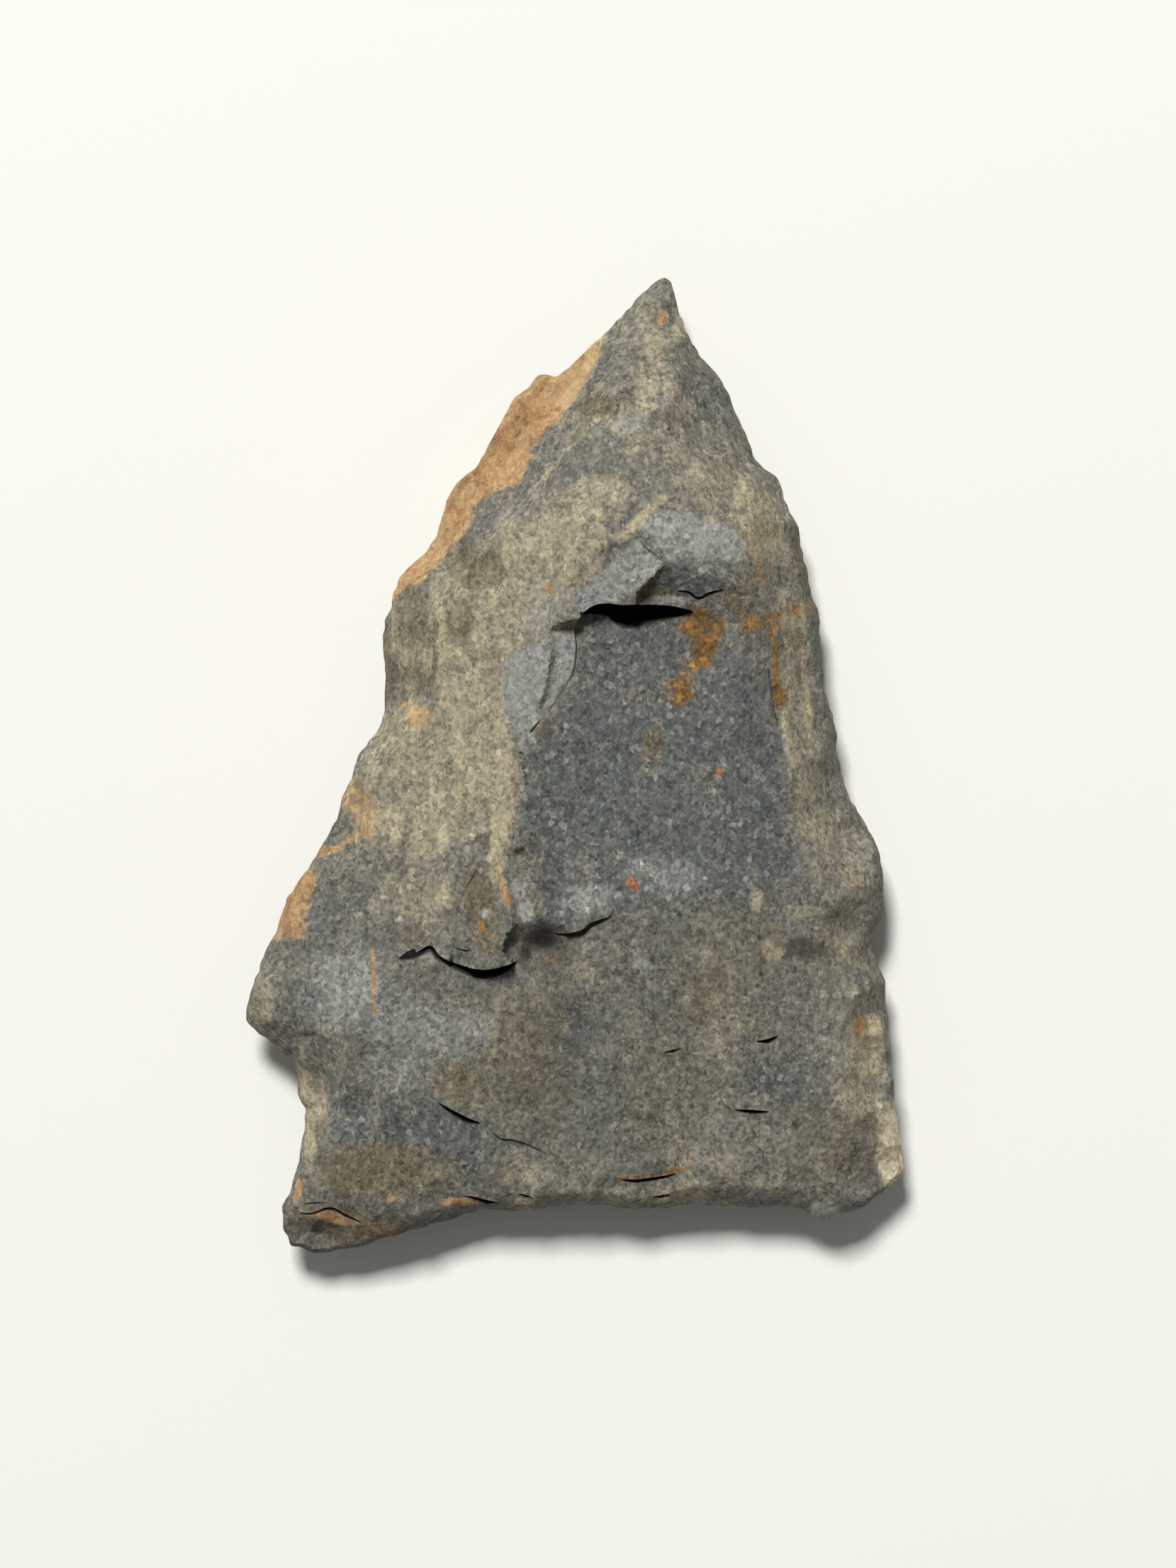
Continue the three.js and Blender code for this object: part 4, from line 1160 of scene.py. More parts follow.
        Spot((4.2, -5.2), (2, 1.2), 0, 0.5, 0.7), Spot((-3, -9.9), (1.6, 0.4), 0, 0.5),
        Spot((2.9, -9.2), (0.5, 0.3), 0, 0.7), Spot((12, -12.6), (1.4, 2.4), 0, 0.4, 0.7),
        Spot((11.8, -20.9), (0.8, 0.5), 0, 0.9), Spot((14.75, -16.7), (0.4, 0.8), 0, 0.6),
        Spot((4.9, 7.6), (0.8, 0.2), -3, 0.4), Spot((5.8, 8.9), (1.8, 0.5), 0, 0.4, 0.6),
    ),
    Stain.OCHRE: (
        Area((
            (1.5, 20.5), (1.1, 19.6), (0.9, 18.9), (0.5, 18), (0, 17.2), (-0.6, 16.6), (-1.1, 16),
            (-1.6, 15.5), (-2, 15), (-2.15, 14.2), (-2.5, 13.6), (-3.2, 12.95), (-4.1, 12.6),
            (-4.8, 12.1), (-4.9, 11.6), (-5.3, 10.8), (-6, 10.2), (-6.3, 9.6), (-6.9, 9),
            (-7.4, 8.6), (-8.6, 7.6), (-9, 9.4), (-5, 15), (-1, 19.6), (1, 20.8),
        ), 0.25, 1.1),
        Area((
            (-12.9, -4.6), (-12, -5), (-12.3, -6.5), (-12.7, -7.6), (-13.1, -8.1), (-14.6, -8.2),
            (-14.2, -6.4), (-13.2, -4.6),
        ), 0.35, 0.9),
        Spot((-10.1, -1.9), (0.8, 1.5), 25, 0.6),
        Streak(((-12.4, -4.3), (-11, -3.9), (-9.5, -3)), 0.25, 0.7),
        Streak(((-9.45, -8.7), (-9.42, -10.2), (-9.35, -11.5)), 0.2, 0.85),
        Spot((-7.2, 2.2), (0.75, 0.55), 0, 0.6), Spot((-7.9, 2.7), (0.4, 0.3), 0, 0.5),
        Spot((-11.5, -21.2), (1, 0.35), -18, 0.75),
        Spot((-9.6, -21.6), (2.6, 0.5), -12, 0.36, 0.7),
        Spot((-5.5, -20.5), (0.9, 0.22), 0, 0.85), Spot((-8.5, -20.3), (0.35, 0.25), 20, 0.7),
        Spot((-13.1, -19.9), (0.22, 0.6), 0, 0.9),
        Streak(((-3.4, -4.7), (-3.25, -5.7), (-3.1, -6.5)), 0.22, 0.85),
        Spot((4.1, 21.1), (0.2, 0.4), 0, 0.8), Spot((-1.2, 8.2), (0.24, 0.38), 0, 0.8),
        Spot((14.75, -17.5), (0.55, 1.7), 0, 0.32, 0.6),
    ),
    Stain.RUST: (
        Area((
            (5.3, 7.4), (6.2, 7.3), (6.7, 6.6), (6.6, 5.6), (6.2, 4.6), (5.5, 4.5), (5.3, 5.5),
            (4.9, 6.3),
        ), 0.45, 1.15),
        Spot((5.9, 6.5), (0.55, 0.75), 0, 1, 0.7), Spot((-2.7, 15.7), (0.7, 1.8), -38, 0.5, 0.8),
        Spot((4.85, 3.45), (0.6, 0.6)), Spot((5.2, 4.3), (0.5, 0.6), -30, 0.5, 0.7),
        Spot((8, 6.6), (0.7, 0.5), 0, 0.7, 0.7), Spot((9.1, 6.7), (0.6, 0.6), 0, 0.6, 0.7),
        Spot((10.5, 7.2), (1.1, 0.35), 8, 0.55, 0.7), Spot((8.6, 11.2), (0.5, 0.9), 0, 0.35, 0.7),
        Streak(((9.1, 6.2), (9.3, 4.6), (9.6, 2.8)), 0.26, 0.75),
        Spot((9.5, 3.3), (0.3, 0.7), 0, 0.95), Spot((8.6, 9.4), (0.4, 1.6), 14, 0.35),
        Spot((9.1, 6.5), (0.4, 0.6), 0, 0.4), Spot((13.3, -12.3), (0.4, 0.7), 0, 0.6, 0.7),
        Spot((-4.4, -7.45), (0.16, 0.3), 0, 0.9), Spot((9.4, -9.2), (0.3, 0.5), 0, 0.4),
        Streak(((2.1, -19.45), (3.2, -19.4), (4.2, -19.2), (5.3, -18.8)), 0.22, 0.75),
    ),
    Stain.RED: (
        Spot((2.65, -5.45), (0.3, 0.34), 30, 1.1, 0.3), Spot((6.6, -0.35), (0.17, 0.17)),
        Spot((-13.4, -7.4), (0.35, 0.4), 0, 0.4), Spot((13, -5.7), (0.3, 0.2), 0, 0.4),
        Spot((13.35, -12.45), (0.12, 0.25), 0, 0.8), Spot((14.4, -16.9), (0.4, 0.5), 0, 0.3, 0.8),
        Spot((-0.55, 6.15), (0.25, 0.16), 30, 0.4), Spot((-1.1, -8.9), (0.6, 0.4), 0, 0.4, 0.8),
    ),
    Stain.SHADE: (
        # Painted shading in the hollow at the tongue's right corner and along the low step beside
        # it.
        Spot((-1.5, -8), (0.95, 0.6), 8, 1, 0.7), Spot((-1.3, -8.6), (1, 0.8), 0, 0.6, 0.8),
        Spot((-2.4, -8.8), (0.5, 0.5), 40, 0.6, 0.8),
        Streak(((-0.8, -8), (-0.1, -7.85), (0.4, -7.65), (0.8, -7.3), (1.7, -7)), 0.4, 0.4),
        Spot((-1.4, 1.6), (0.4, 0.6), 0, 0.5), Spot((-10.2, -0.9), (0.25, 0.25), 0, 0.7),
        # Painted shading low on the flake left of the tongue.
        Spot((-7.6, -7.8), (0.7, 0.4), 0, 0.4, 0.7),
        Streak(((8.9, 4.7), (9.1, 3), (9.4, 2)), 0.16, 0.6),
        # Brown stain of the dark blotch on the right shoulder and of the orange stain.
        Spot((10.6, -8.5), (1.2, 0.5), -10, 0.75, 0.7),
        Spot((5.9, 6.4), (0.6, 0.7), 0, 0.45, 0.8),
        # Faint painted shading on the steep facet over the step, which faces away from the window.
        Area((
            (2.9, 8), (3.5, 8.6), (3.9, 9), (4.25, 9.35), (5, 9.47), (6.2, 9.53), (6.9, 9.45),
            (7.3, 9.15), (8.1, 8.9), (8.5, 8.4), (7.9, 8.1), (6.9, 8.15), (6.2, 8), (5.7, 7.75),
            (5.3, 8), (4.7, 8.1), (4.1, 8.3), (3.4, 8),
        ), 0.1, 0.02),
        # Painted shading on the small wall beside the pale facet, turned away from the light.
        Streak(((2.5, 7.55), (3.2, 8.15), (3.8, 8.75), (4.2, 9.3)), 0.32, 0.5),
        Streak(((5.3, 7.05), (6.3, 6.95), (6.75, 6.5), (6.8, 6)), 0.24, 0.55),
        # Darkens the base's left bevel, which faces away from the light: partly painted shading,
        # partly brown stain.
        Area((
            (-13.6, -21.4), (-10, -21.75), (-8.5, -21.2), (-5, -20.7), (-3, -20.85), (-3, -22),
            (-9, -24), (-14, -24),
        ), 0.3, 0.4),
        Spot((-10.6, -20.4), (2.6, 0.5), -6, 0.25, 0.6),
        Streak(((-6.3, -13.9), (-6.5, -14.6), (-6.3, -15.5)), 0.2, 0.4),
        Streak(((-3.4, -18.2), (-3.7, -18.9), (-3.2, -19.8)), 0.2, 0.3),
        Spot((-2, -14), (1.8, 2.6), 0, 0.18, 0.7),
    ),
    Stain.SOIL: (
        # Painted shading, in the colour of dark earth, in the hollow at the tongue's right corner
        # and along the low step.
        Spot((-1.5, -8), (1.1, 0.65), 8, 0.68, 1), Spot((-2.3, -8.7), (0.55, 0.5), -30, 0.64, 1),
        Spot((0.9, -7.4), (0.8, 0.16), 32, 0.45, 0.9),
    ),
    Stain.CRUST: (
        Area((
            (14.1, -15.9), (15.2, -15.7), (15.6, -17.4), (15.8, -19.2), (14.9, -19.9),
            (14.2, -18.8), (14.2, -17.2),
        ), 0.35, 0.75),
        Spot((-4.2, -6.93), (0.25, 0.25), 0, 0.3), Spot((-2.35, -20.4), (0.4, 0.2), 0, 0.4),
    ),
}  # fmt: skip

UNDER_STAINS: dict[Stain, tuple[Patch, ...]] = {
    Stain.TAN: (
        Spot((-4, 4), (5, 9), 12, 0.7, 0.6), Spot((7, -6), (5, 7), -10, 0.5, 0.6),
        Spot((3, 17), (2.6, 4.4), -12, 0.5, 0.6),
    ),
    Stain.BLUE: (Spot((0, -16), (9, 4.4), 0, 0.8, 0.4), Spot((6.6, 6), (3.4, 5), 10, 0.7)),
    Stain.OLIVE: (Spot((-10, -8), (4, 4), 0, 0.7, 0.6),),
    Stain.OCHRE: (
        Spot((-3.4, 14), (1.1, 5), -38, 0.8, 0.4), Spot((11.6, -14), (2, 3), 0, 0.5, 0.6),
    ),
    Stain.RUST: (Spot((2, 2), (0.8, 1.6), 30, 0.6), Spot((-6, -13), (1.2, 0.5), 0, 0.5)),
}


# ---- Materials -------------------------------------------------------------


def tone(red: int, green: int, blue: int) -> Colour:
    """A colour named by its display values, 0 to 255, as linear light."""

    def linear(value: int) -> float:
        """One display value as linear light."""
        s = value / 255
        return s / 12.92 if s <= 0.04045 else ((s + 0.055) / 1.055) ** 2.4

    return (linear(red), linear(green), linear(blue), 1.0)


class Shade:
    """A socket of a node tree, with arithmetic that adds Math nodes."""

    def __init__(self, kit: NodeKit, socket: Any) -> None:
        self.kit = kit
        self.socket = socket

    def math(self, operation: str, *values: Any) -> Shade:
        """A Math node of that operation on this socket and the values."""
        sockets = dict(enumerate((self, *values)))
        return self.kit.node("ShaderNodeMath", {"operation": operation}, sockets)

    def __add__(self, other: Any) -> Shade:
        """This plus other."""
        return self.math("ADD", other)

    __radd__ = __add__

    def __mul__(self, other: Any) -> Shade:
        """This times other."""
        return self.math("MULTIPLY", other)

    __rmul__ = __mul__

    def __sub__(self, other: Any) -> Shade:
        """This less other."""
        return self.math("SUBTRACT", other)

    def __rsub__(self, other: Any) -> Shade:
        """Other less this."""
        sockets = {0: other, 1: self}
        return self.kit.node("ShaderNodeMath", {"operation": "SUBTRACT"}, sockets)

    def step(self, low: float, high: float) -> Shade:
        """A smooth step from 0 at low to 1 at high."""
        return self.kit.node(
            "ShaderNodeMapRange",
            {"interpolation_type": "SMOOTHSTEP"},
            {"Value": self, "From Min": low, "From Max": high},
        )

    def clamp(self) -> Shade:
        """This kept between 0 and 1."""
        return self.kit.node("ShaderNodeClamp", {}, {"Value": self})


class NodeKit:
    """Builds the node tree of one material."""

    def __init__(self, name: str) -> None:
        """Makes an empty material of that name."""
        self.material = bpy.data.materials.new(name)
        self.material.use_nodes = True
        self.tree = self.material.node_tree
        self.tree.nodes.clear()

    def node(
        self, kind: str, settings: dict[str, Any], sockets: dict[Any, Any], output: Any = 0
    ) -> Shade:
        """Adds a node.

        Args:
            kind: the node's type.
            settings: its settings, set before anything else.
            sockets: values or links of its inputs, by name or number.
            output: the name or number of the output to give back.

        Returns:
            That output.
        """
        made = self.tree.nodes.new(kind)
        for key, value in settings.items():
            setattr(made, key, value)
        for key, value in sockets.items():
            if isinstance(value, Shade):
                self.tree.links.new(value.socket, made.inputs[key])
            else:
                made.inputs[key].default_value = value
        return Shade(self, made.outputs[output] if made.outputs else None)

    def mask(self, stain: Stain) -> Shade:
        """The mesh attribute of a layer of colour."""
        settings = {"attribute_name": stain.value}
        return self.node("ShaderNodeAttribute", settings, {}, "Fac")

    def mix(self, factor: Any, a: Any, b: Any) -> Shade:
        """Colour a turning into colour b by a factor."""
        return self.node("ShaderNodeMix", {"data_type": "RGBA"}, {0: factor, 6: a, 7: b}, 2)

    def scaled(self, vector: Shade, scale: Triple) -> Shade:
        """A vector multiplied axis by axis."""
        sockets = {0: vector, 1: scale}
        return self.node("ShaderNodeVectorMath", {"operation": "MULTIPLY"}, sockets)

    def shifted(self, vector: Shade, by: float) -> Shade:
        """A vector moved along every axis."""
        sockets = {0: vector, 1: (by, by, by)}
        return self.node("ShaderNodeVectorMath", {"operation": "ADD"}, sockets)

    def finish(self, shader: Shade) -> bpy.types.Material:
        """Sends a shader to the material's output and gives the material."""
        self.node("ShaderNodeOutputMaterial", {}, {"Surface": shader})
        return self.material


@dataclass(frozen=True)
class Weathering:
    """The random variations that the stone's colours share.

    Attributes:
        dust: grains of a tenth of a millimetre.
        fine: grains of a fifth of a millimetre.
        grain: grains of nearly half a millimetre.
        fleck: variation over a millimetre.
        mottle: variation over several millimetres.
        streak: variation drawn out along the stone.
    """

    dust: Shade
    fine: Shade
    grain: Shade
    fleck: Shade
    mottle: Shade
    streak: Shade


@dataclass(frozen=True)
class StoneFinish:
    """The weathered stone: grey ground, layers of stain, grain and dark earth; the earth and the
    brown layer also paint shading.
    """

    ground: Colour = tone(113, 112, 103)
    fresh: Colour = tone(93, 96, 93)
    patina: Colour = tone(172, 161, 132)
    olive: Colour = tone(110, 103, 83)
    pale: Colour = tone(146, 147, 140)
    ochre: Colour = tone(189, 154, 110)
    ochre_dark: Colour = tone(134, 92, 54)
    ochre_pale: Colour = tone(196, 170, 124)
    rust: Colour = tone(158, 115, 56)
    umber: Colour = tone(94, 70, 34)
    red: Colour = tone(168, 108, 76)
    crust: Colour = tone(216, 204, 178)
    # Painted shading, also used as a brown stain.
    shade: Colour = tone(62, 54, 42)
    # Dark earth, also painted shading, at the bottoms of cracks and hollows.
    soil: Colour = tone(16, 14, 9)
    warm: Colour = tone(150, 134, 108)
    cool: Colour = tone(104, 112, 120)

    def build(self) -> bpy.types.Material:
        """Makes the material."""
        kit = NodeKit("weathered_stone")
        place = kit.node("ShaderNodeTexCoord", {}, {}, "Object")
        mm = kit.scaled(place, (1 / MM, 1 / MM, 1 / MM))
        wear = Weathering(
            dust=self.grains(kit, mm, (8.5, 7.0, 8.5)),
            fine=self.grains(kit, mm, (4.8, 3.8, 4.8)),
            grain=self.grains(kit, mm, (2.7, 2.0, 2.7)),
            fleck=self.cloud(kit, kit.shifted(mm, 83.0), (1.3, 1.0, 1.3), 4.0),
            mottle=self.cloud(kit, kit.shifted(mm, 11.0), (0.42, 0.34, 0.42), 3.0),
            streak=self.cloud(kit, kit.shifted(mm, 71.0), (1.9, 0.36, 1.9), 4.0),
        )
        colour = self.stained(kit, wear)
        rough = 0.88 + 0.06 * wear.fine - 0.06 * kit.mask(Stain.BLUE)
        height = self.cloud(kit, mm, (3.0, 2.4, 3.0), 5.0) + wear.dust * 0.3
        bump = kit.node(
            "ShaderNodeBump", {}, {"Strength": 1.0, "Distance": 0.025 * MM, "Height": height}
        )
        shader = kit.node(
            "ShaderNodeBsdfPrincipled",
            {},
            {"Base Color": colour, "Roughness": rough, "Normal": bump, "Specular IOR Level": 0.3},
        )
        return kit.finish(shader)

    def grains(self, kit: NodeKit, mm: Shade, scale: Triple) -> Shade:
        """Mineral grains, each with its own random value.

        Args:
            kit: the material's node kit.
            mm: the place in millimetres.
            scale: grains per millimetre along each axis.

        Returns:
            Values from -1 to 1, the same over each grain.
        """
        cells = kit.node(
            "ShaderNodeTexVoronoi",
            {"voronoi_dimensions": "3D", "feature": "F1"},
            {"Vector": kit.scaled(mm, scale), "Scale": 1.0},
            "Color",
        )
        return kit.node("ShaderNodeSeparateColor", {}, {0: cells}, 0) * 2.0 - 1.0

    def cloud(
        self, kit: NodeKit, mm: Shade, scale: Triple, detail: float
    ) -> Shade:
        """Soft random variation.

        Args:
            kit: the material's node kit.
            mm: the place in millimetres.
            scale: features per millimetre along each axis.
            detail: how many finer sizes are added.

        Returns:
            Values around 0, mostly from -1 to 1.
        """
        sockets = {
            "Vector": kit.scaled(mm, scale), "Scale": 1.0, "Detail": detail, "Roughness": 0.6,
        }  # fmt: skip
        return (kit.node("ShaderNodeTexNoise", {}, sockets, 0) - 0.5) * 4.0

    def stained(self, kit: NodeKit, wear: Weathering) -> Shade:
        """Lays the stains over the ground, from the deepest to the topmost; the last two, the
        brown layer and the dark earth, also paint shading.

        Args:
            kit: the material's node kit.
            wear: the variations that the colours share.

        Returns:
            The base colour.
        """
        patchy = wear.mottle * 0.32 + wear.fleck * 0.2 + wear.streak * 0.3
        grains = wear.fine * 0.16 - wear.grain * 0.2
        blue = (kit.mask(Stain.BLUE) + patchy * 0.7 + grains * 0.6).clamp()
        colour = kit.mix(blue, self.ground, self.fresh)
        worn = (kit.mask(Stain.TAN) + patchy + grains * 0.4).step(0.0, 1.5)
        colour = kit.mix(worn, colour, self.patina)
        olive = (kit.mask(Stain.OLIVE) - wear.streak * 0.3 - wear.fleck * 0.12 + grains * 0.4)
        colour = kit.mix(olive.step(0.1, 1.0), colour, self.olive)
        pale = (kit.mask(Stain.PALE) + patchy * 0.3 + grains * 0.4).step(0.1, 0.9)
        colour = kit.mix(pale, colour, self.pale)
        crust = (kit.mask(Stain.CRUST) * (1.0 + grains * 1.4)).step(0.1, 0.8)
        colour = kit.mix(crust * 0.8, colour, self.crust)
        colour = self.tinted(kit, colour, wear)
        ochre = (kit.mask(Stain.OCHRE) * (1.0 + patchy * 0.4 + grains * 1.2)).step(0.15, 0.8)
        colour = kit.mix(ochre * 0.95, colour, self.rind(kit, wear))
        rust = (kit.mask(Stain.RUST) * (1.0 + wear.fleck * 0.3 + grains * 1.8)).step(0.05, 0.95)
        brown = (wear.grain * 0.6 + wear.fleck * 0.8).step(-0.8, 0.8)
        colour = kit.mix(rust * 0.95, colour, kit.mix(brown, self.rust, self.umber))
        red = (kit.mask(Stain.RED) * (1.0 + grains)).step(0.1, 0.9)
        colour = kit.mix(red * 0.8, colour, self.red)
        colour = self.speckled(kit, colour, wear)
        # Painted shading in hollows, creases and facets turned from the light, and brown staining.
        shade = (kit.mask(Stain.SHADE) * (1.0 + grains)).clamp()
        colour = kit.mix(shade * 0.8, colour, self.shade)
        # Dark earth in cracks and hollows, darkest at their bottoms: partly painted shading.
        return kit.mix(kit.mask(Stain.SOIL).step(0.15, 0.85), colour, self.soil)

    def rind(self, kit: NodeKit, wear: Weathering) -> Shade:
        """The ochre rind's own colour, mottled brown and pale.

        Args:
            kit: the material's node kit.
            wear: the variations that the colours share.

        Returns:
            The colour.
        """
        brown = (wear.fine * 0.5 + wear.fleck * 0.9 + wear.grain * 0.5).step(-0.3, 1.2)
        rind = kit.mix(brown * 0.9, self.ochre, self.ochre_dark)
        pale = (wear.mottle * 0.6 - wear.grain * 0.4 + kit.mask(Stain.TAN)).step(0.2, 1.1)
        return kit.mix(pale * 0.7, rind, self.ochre_pale)

    def tinted(self, kit: NodeKit, colour: Shade, wear: Weathering) -> Shade:
        """Warms and cools single grains.

        Args:
            kit: the material's node kit.
            colour: the colour so far.
            wear: the variations that the colours share.

        Returns:
            The tinted colour.
        """
        warm = (wear.grain * 0.4 + wear.dust * 0.5 + wear.mottle * 0.3).step(0.1, 1.1)
        colour = kit.mix(warm * 0.35, colour, self.warm)
        cool = (wear.fleck * 0.4 - wear.grain * 0.4 - wear.dust * 0.3).step(0.1, 1.1)
        return kit.mix(cool * 0.35, colour, self.cool)

    def speckled(self, kit: NodeKit, colour: Shade, wear: Weathering) -> Shade:
        """Lightens and darkens single grains, and makes some of them white.

        Args:
            kit: the material's node kit.
            colour: the colour so far.
            wear: the variations that the colours share.

        Returns:
            The speckled colour.
        """
        white = wear.fine.step(0.8, 0.95) * (0.12 + 0.5 * kit.mask(Stain.BLUE)).clamp()
        worn = kit.mask(Stain.OCHRE) * 0.4 + kit.mask(Stain.TAN) * 0.2 + kit.mask(Stain.PALE) * 0.2
        calm = 1.0 - worn.clamp() * 0.9
        light = 0.985 + (wear.fine * 0.26 + wear.grain * 0.1 + wear.dust * 0.32) * calm + white
        light = light + wear.fleck * 0.07 + wear.streak * 0.06
        return kit.node(
            "ShaderNodeVectorMath", {"operation": "SCALE"}, {0: colour, "Scale": light}
        )


@dataclass(frozen=True)
class BenchFinish:
    """The plain pale bench top."""

    colour: Colour = tone(243, 243, 236)

    def build(self) -> bpy.types.Material:
        """Makes the material."""
        kit = NodeKit("bench_top")
        sockets = {"Base Color": self.colour, "Roughness": 0.9, "Specular IOR Level": 0.2}
        return kit.finish(kit.node("ShaderNodeBsdfPrincipled", {}, sockets))


# ---- The stone -------------------------------------------------------------


@dataclass
class StonePoint:
    """The projectile point: both faces, joined at the sharp edge.

    Attributes:
        relief: works out the heights.
        upper_cell: distance between mesh points on the upper face.
        under_cell: the same underneath.
        shake: how far a mesh point is shaken, as a share of that distance.
        crease: the angle in degrees over which an edge is drawn sharp.
        ragged: how far colour borders wander.
        crisp: how far the borders of broken facets wander.
        finish: the stone's material.
    """

    relief: Relief
    upper_cell: float = 0.14
    under_cell: float = 0.19
    shake: float = 0.16
    crease: float = 38.0
    ragged: float = 0.22
    crisp: float = 0.06
    finish: StoneFinish = StoneFinish()

    def grid(self, cell: float, seed: int) -> np.ndarray:
        """Staggered, slightly shaken mesh points inside the edge.

        Args:
            cell: the distance between them.
            seed: which shaking.

        Returns:
            Rows of X and Y.
        """
        low, high = self.relief.rim.ring.min(0), self.relief.rim.ring.max(0)
        rng = np.random.default_rng(seed)
        rows = np.arange(low[1], high[1], cell * math.sqrt(0.75))
        columns = np.arange(low[0], high[0] + cell, cell)
        x, y = np.meshgrid(columns, rows)
        x = x + cell / 2 * (np.arange(len(rows)) % 2)[:, None]
        xy = np.column_stack([x.ravel(), y.ravel()])
        xy += rng.uniform(-self.shake, self.shake, xy.shape) * cell
        xy = xy[inside(self.relief.rim.ring, xy[:, 0], xy[:, 1])]
        d, _ = self.relief.rim.nearest(xy)
        return xy[d > 0.55 * cell]

    def cleared(
        self, xy: np.ndarray, cuts: Sequence[Knots], loops: Sequence[np.ndarray]
    ) -> np.ndarray:
        """Leaves out mesh points in or too near a crack.

        Args:
            xy: rows of X and Y.
            cuts: the cracks' own points.
            loops: the cracks' outlines.

        Returns:
            The rows that stay.
        """
        tree = KDTree(sum(len(c.at) for c in cuts))
        count = 0
        for cut in cuts:
            for x, y in cut.at:
                tree.insert((x, y, 0.0), count)
                count += 1
        tree.balance()
        gap = np.array([tree.find((x, y, 0.0))[2] for x, y in xy])
        keep = gap > 0.5 * self.upper_cell
        for loop in loops:
            keep &= ~inside(loop, xy[:, 0], xy[:, 1])
        return xy[keep]

    def triangles(self, knots: Knots, edges: list[tuple[int, int]]) -> tuple[Knots, np.ndarray]:
        """Joins points up into triangles.

        Args:
            knots: the points.
            edges: edges that have to stay.

        Returns:
            The points in mesh order, and the triangles.
        """
        points = [Vector(p) for p in knots.at]
        at, _, faces, origins, *_ = delaunay_2d_cdt(points, edges, [], 1, 1e-6)
        first = np.array([o[0] if o else -1 for o in origins])
        made = knots.kept(np.maximum(first, 0))
        fresh = first < 0
        places = np.array([tuple(p) for p in at])
        made.at[fresh], made.probe[fresh] = places[fresh], places[fresh]
        made.drop[fresh], made.shift[fresh], made.soil[fresh] = 0.0, 0.0, 0.0
        return made, np.array([tuple(f) for f in faces])

    def face(self, face: Face) -> tuple[np.ndarray, np.ndarray, Knots]:
        """Builds one face. Its first points are the ring of the sharp edge.

        Args:
            face: which one.

        Returns:
            The points with heights, the triangles, and the points' own data.
        """
        ring = self.relief.rim.ring
        count = len(ring)
        parts = [Knots.plain(ring)]
        edges = [(i, (i + 1) % count) for i in range(count)]
        if face is Face.UPPER:
            cuts, loops = [], []
            total = count
            for seam in SEAMS.values():
                knots, chain, loop = SeamCut(seam).build()
                edges += [(a + total, b + total) for a, b in chain]
                total += len(knots.at)
                cuts.append(knots)
                loops.append(loop)
            grid = self.cleared(self.grid(self.upper_cell, 5), cuts, loops)
            parts += cuts + [Knots.plain(grid)]
            height = self.relief.upper
        else:
            parts.append(Knots.plain(self.grid(self.under_cell, 6)))
            height = self.relief.under
        knots, faces = self.triangles(Knots.joined(parts), edges)
        z = height(knots.probe) - knots.drop
        z[:count] = self.relief.edge_height(self.relief.rim.place)
        plan = knots.at + knots.shift
        return np.column_stack([plan, z]), faces, knots

    def stains(
        self, table: dict[Stain, tuple[Patch, ...]], xy: np.ndarray
    ) -> dict[Stain, np.ndarray]:
        """Works out each layer of colour.

        Args:
            table: the patches of each layer.
            xy: rows of X and Y.

        Returns:
            One value from 0 to 1 for each place and layer.
        """
        x, y = xy.T
        wander_x, wander_y = fractal(x, y, 0.9, 91, 3), fractal(x, y, 0.9, 97, 3)
        layers = {}
        for stain in Stain:
            ragged = self.crisp if stain in (Stain.PALE, Stain.SHADE) else self.ragged
            u, v = x + ragged * wander_x, y + ragged * wander_y
            cover = np.zeros(len(xy))
            for patch in table.get(stain, ()):
                cover = np.maximum(cover, patch.cover(u, v))
            layers[stain] = cover
        return layers

    def build(self) -> bpy.types.Object:
        """Makes the stone's object, with its colour layers and material."""
        upper, upper_faces, upper_knots = self.face(Face.UPPER)
        under, under_faces, under_knots = self.face(Face.UNDER)
        count = len(self.relief.rim.ring)
        points = np.vstack([upper, under[count:]])
        moved = np.where(under_faces < count, under_faces, under_faces + len(upper) - count)
        faces = np.vstack([upper_faces, moved[:, ::-1]])
        mesh = bpy.data.meshes.new("knapped_stone")
        mesh.from_pydata((self.fitted(points) * MM).tolist(), [], faces.tolist())
        mesh.validate()
        mesh.shade_smooth()
        mesh.set_sharp_from_angle(angle=math.radians(self.crease))
        above = self.stains(UPPER_STAINS, upper_knots.at)
        # The cracks' dark earth and painted shading join the earth layer.
        above[Stain.SOIL] = np.maximum(above[Stain.SOIL], upper_knots.soil)
        below = self.stains(UNDER_STAINS, under_knots.at)
        for stain in Stain:
            layer = mesh.attributes.new(stain.value, "FLOAT", "POINT")
            values = np.concatenate([above[stain], below[stain][count:]])
            layer.data.foreach_set("value", values.astype(np.float32))
        stone = bpy.data.objects.new("knapped_stone", mesh)
        bpy.context.scene.collection.objects.link(stone)
        mesh.materials.append(self.finish.build())
        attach(stone, BODY)
        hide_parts(NODE)
        log.info("knapped_stone: %d points, %d triangles", len(points), len(faces))
        return stone

    def fitted(self, points: np.ndarray) -> np.ndarray:
        """Fits the plan to the solid's box; heights stay as they are.

        Args:
            points: rows of X, Y and Z in the drawing's millimetres.

        Returns:
            The rows in the frame's millimetres.
        """
        low, high = (np.array(corner)[:2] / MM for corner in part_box(NODE))
        drawn = self.relief.rim.outline.corners()
        scale = (high - low) / (drawn.max(0) - drawn.min(0))
        plan = low + (points[:, :2] - drawn.min(0)) * scale
        return np.column_stack([plan, points[:, 2]])


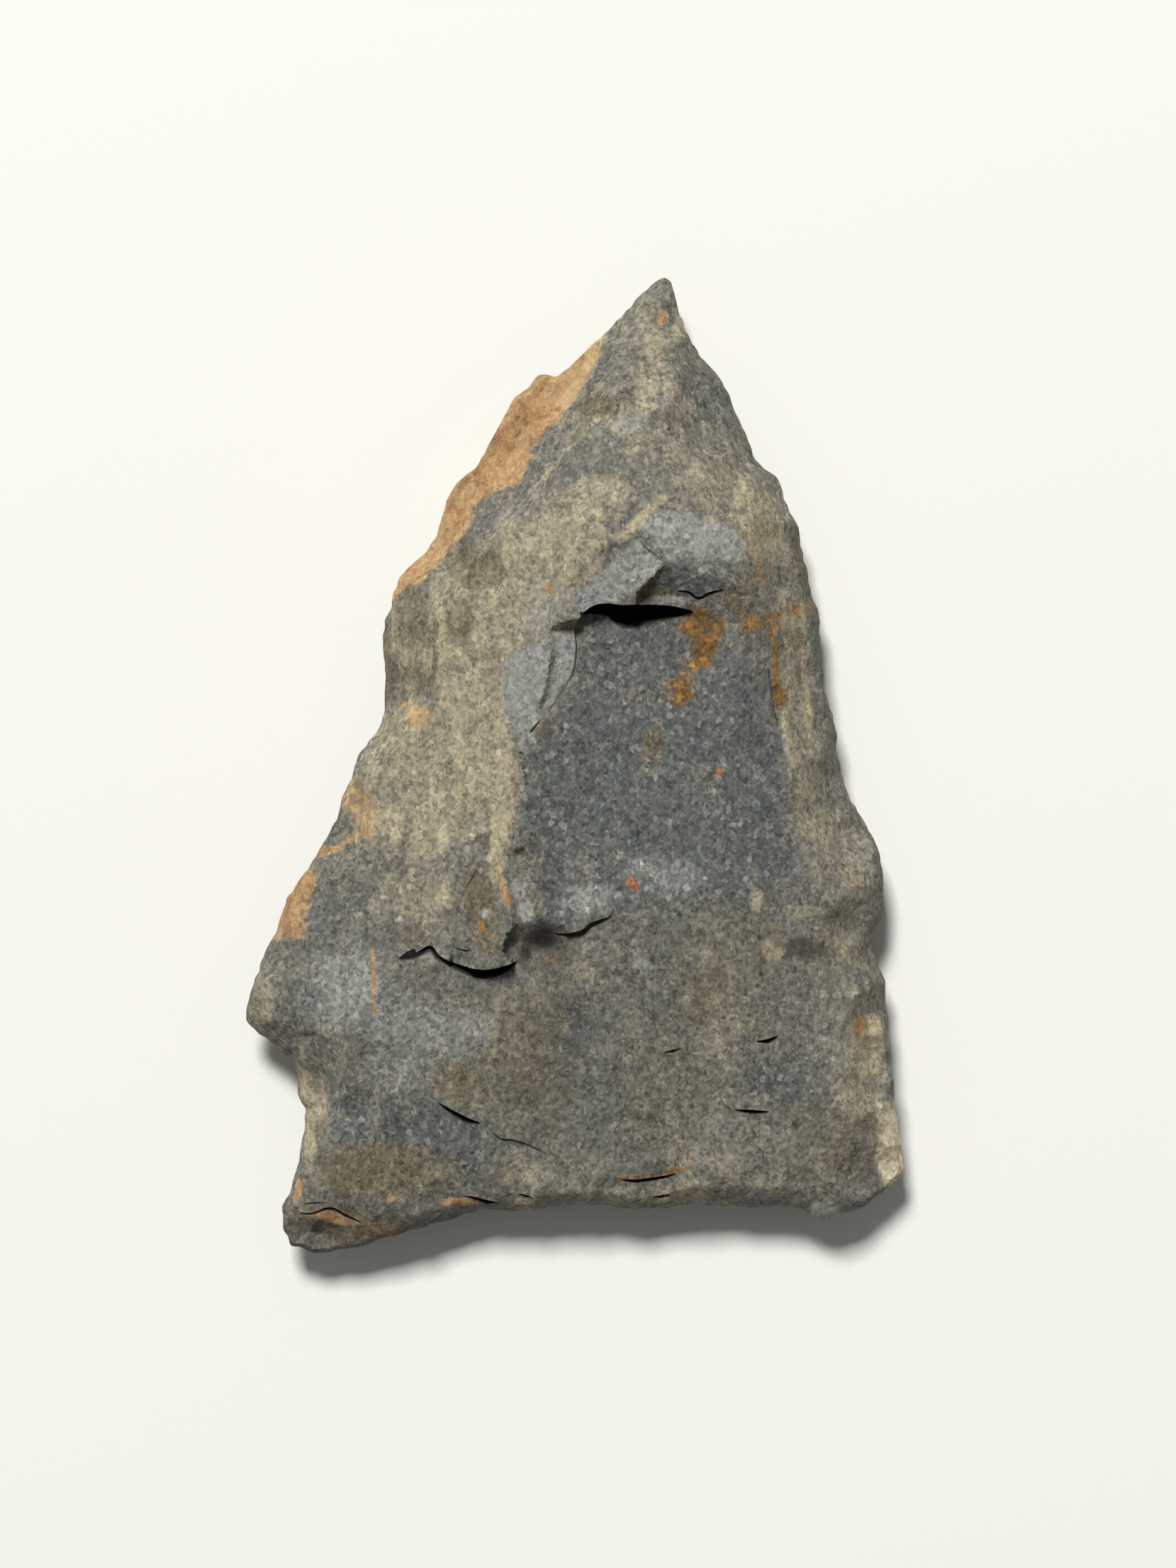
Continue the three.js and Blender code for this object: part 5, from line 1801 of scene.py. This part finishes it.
# ---- Bench, light and camera -----------------------------------------------


@dataclass(frozen=True)
class Bench:
    """The pale bench top, the soft light and the camera over the stone.

    Attributes:
        size: the width of the bench top, in metres.
        sky: the strength of the white sky.
        window_at: where the window light hangs, in metres.
        window_size: its width, in metres.
        window_power: its power, in watts.
        sensor: the width of the camera's sensor, in millimetres.
        camera_height: how high the camera hangs, in metres.
        camera_at: X and Y of the camera, in metres.
        view_height: the height of the view, in metres, at the view level.
        view_level: how high over the bench the view is measured, in metres.
        finish: the bench top's material.
    """

    size: float = 1.2
    sky: float = 0.16
    window_at: Triple = (-0.23, 0.74, 1.06)
    window_size: float = 0.3
    window_power: float = 18.9
    sensor: float = 36.0
    camera_height: float = 0.254
    camera_at: Pair = (0.0006, -0.00087)
    view_height: float = 0.0737
    view_level: float = 0.003
    finish: BenchFinish = BenchFinish()

    def top(self) -> None:
        """Lays the bench top just under the stone."""
        half = self.size / 2
        corners = [(-half, -half, 0), (half, -half, 0), (half, half, 0), (-half, half, 0)]
        mesh = bpy.data.meshes.new("bench_top")
        mesh.from_pydata(corners, [], [(0, 1, 2, 3)])
        mesh.materials.append(self.finish.build())
        floor = bpy.data.objects.new("bench_top", mesh)
        bpy.context.scene.collection.objects.link(floor)

    def window(self) -> None:
        """Hangs the soft window light beyond the tip, facing the stone."""
        data = bpy.data.lights.new("window", "AREA")
        data.size = self.window_size
        data.energy = self.window_power
        lamp = bpy.data.objects.new("window", data)
        lamp.location = self.window_at
        lamp.rotation_euler = (-Vector(self.window_at)).to_track_quat("-Z", "Y").to_euler()
        bpy.context.scene.collection.objects.link(lamp)

    def light(self) -> None:
        """Sets a broad white sky and the window light."""
        world = bpy.data.worlds.new("sky")
        world.use_nodes = True
        background = world.node_tree.nodes["Background"]
        background.inputs["Color"].default_value = (1.0, 1.0, 1.0, 1.0)
        background.inputs["Strength"].default_value = self.sky
        bpy.context.scene.world = world
        self.window()

    def camera(self) -> None:
        """Hangs the camera straight over the stone."""
        data = bpy.data.cameras.new("camera")
        distance = self.camera_height - self.view_level
        data.sensor_width = self.sensor
        data.lens = data.sensor_width * distance / self.view_height
        data.clip_start = 0.01
        camera = bpy.data.objects.new("camera", data)
        camera.location = (*self.camera_at, self.camera_height)
        bpy.context.scene.collection.objects.link(camera)
        bpy.context.scene.camera = camera

    def build(self) -> None:
        """Sets the whole bench."""
        self.top()
        self.light()
        self.camera()
        bpy.context.scene.view_settings.view_transform = "Standard"
        log.info("bench_top: pale bench, lamp and camera")


def main() -> None:
    """Builds the stone and the bench."""
    logging.basicConfig(level=logging.INFO, format="%(name)s: %(message)s")
    StonePoint(Relief(Rim(Outline()))).build()
    Bench().build()


if __name__ == "__main__":
    main()
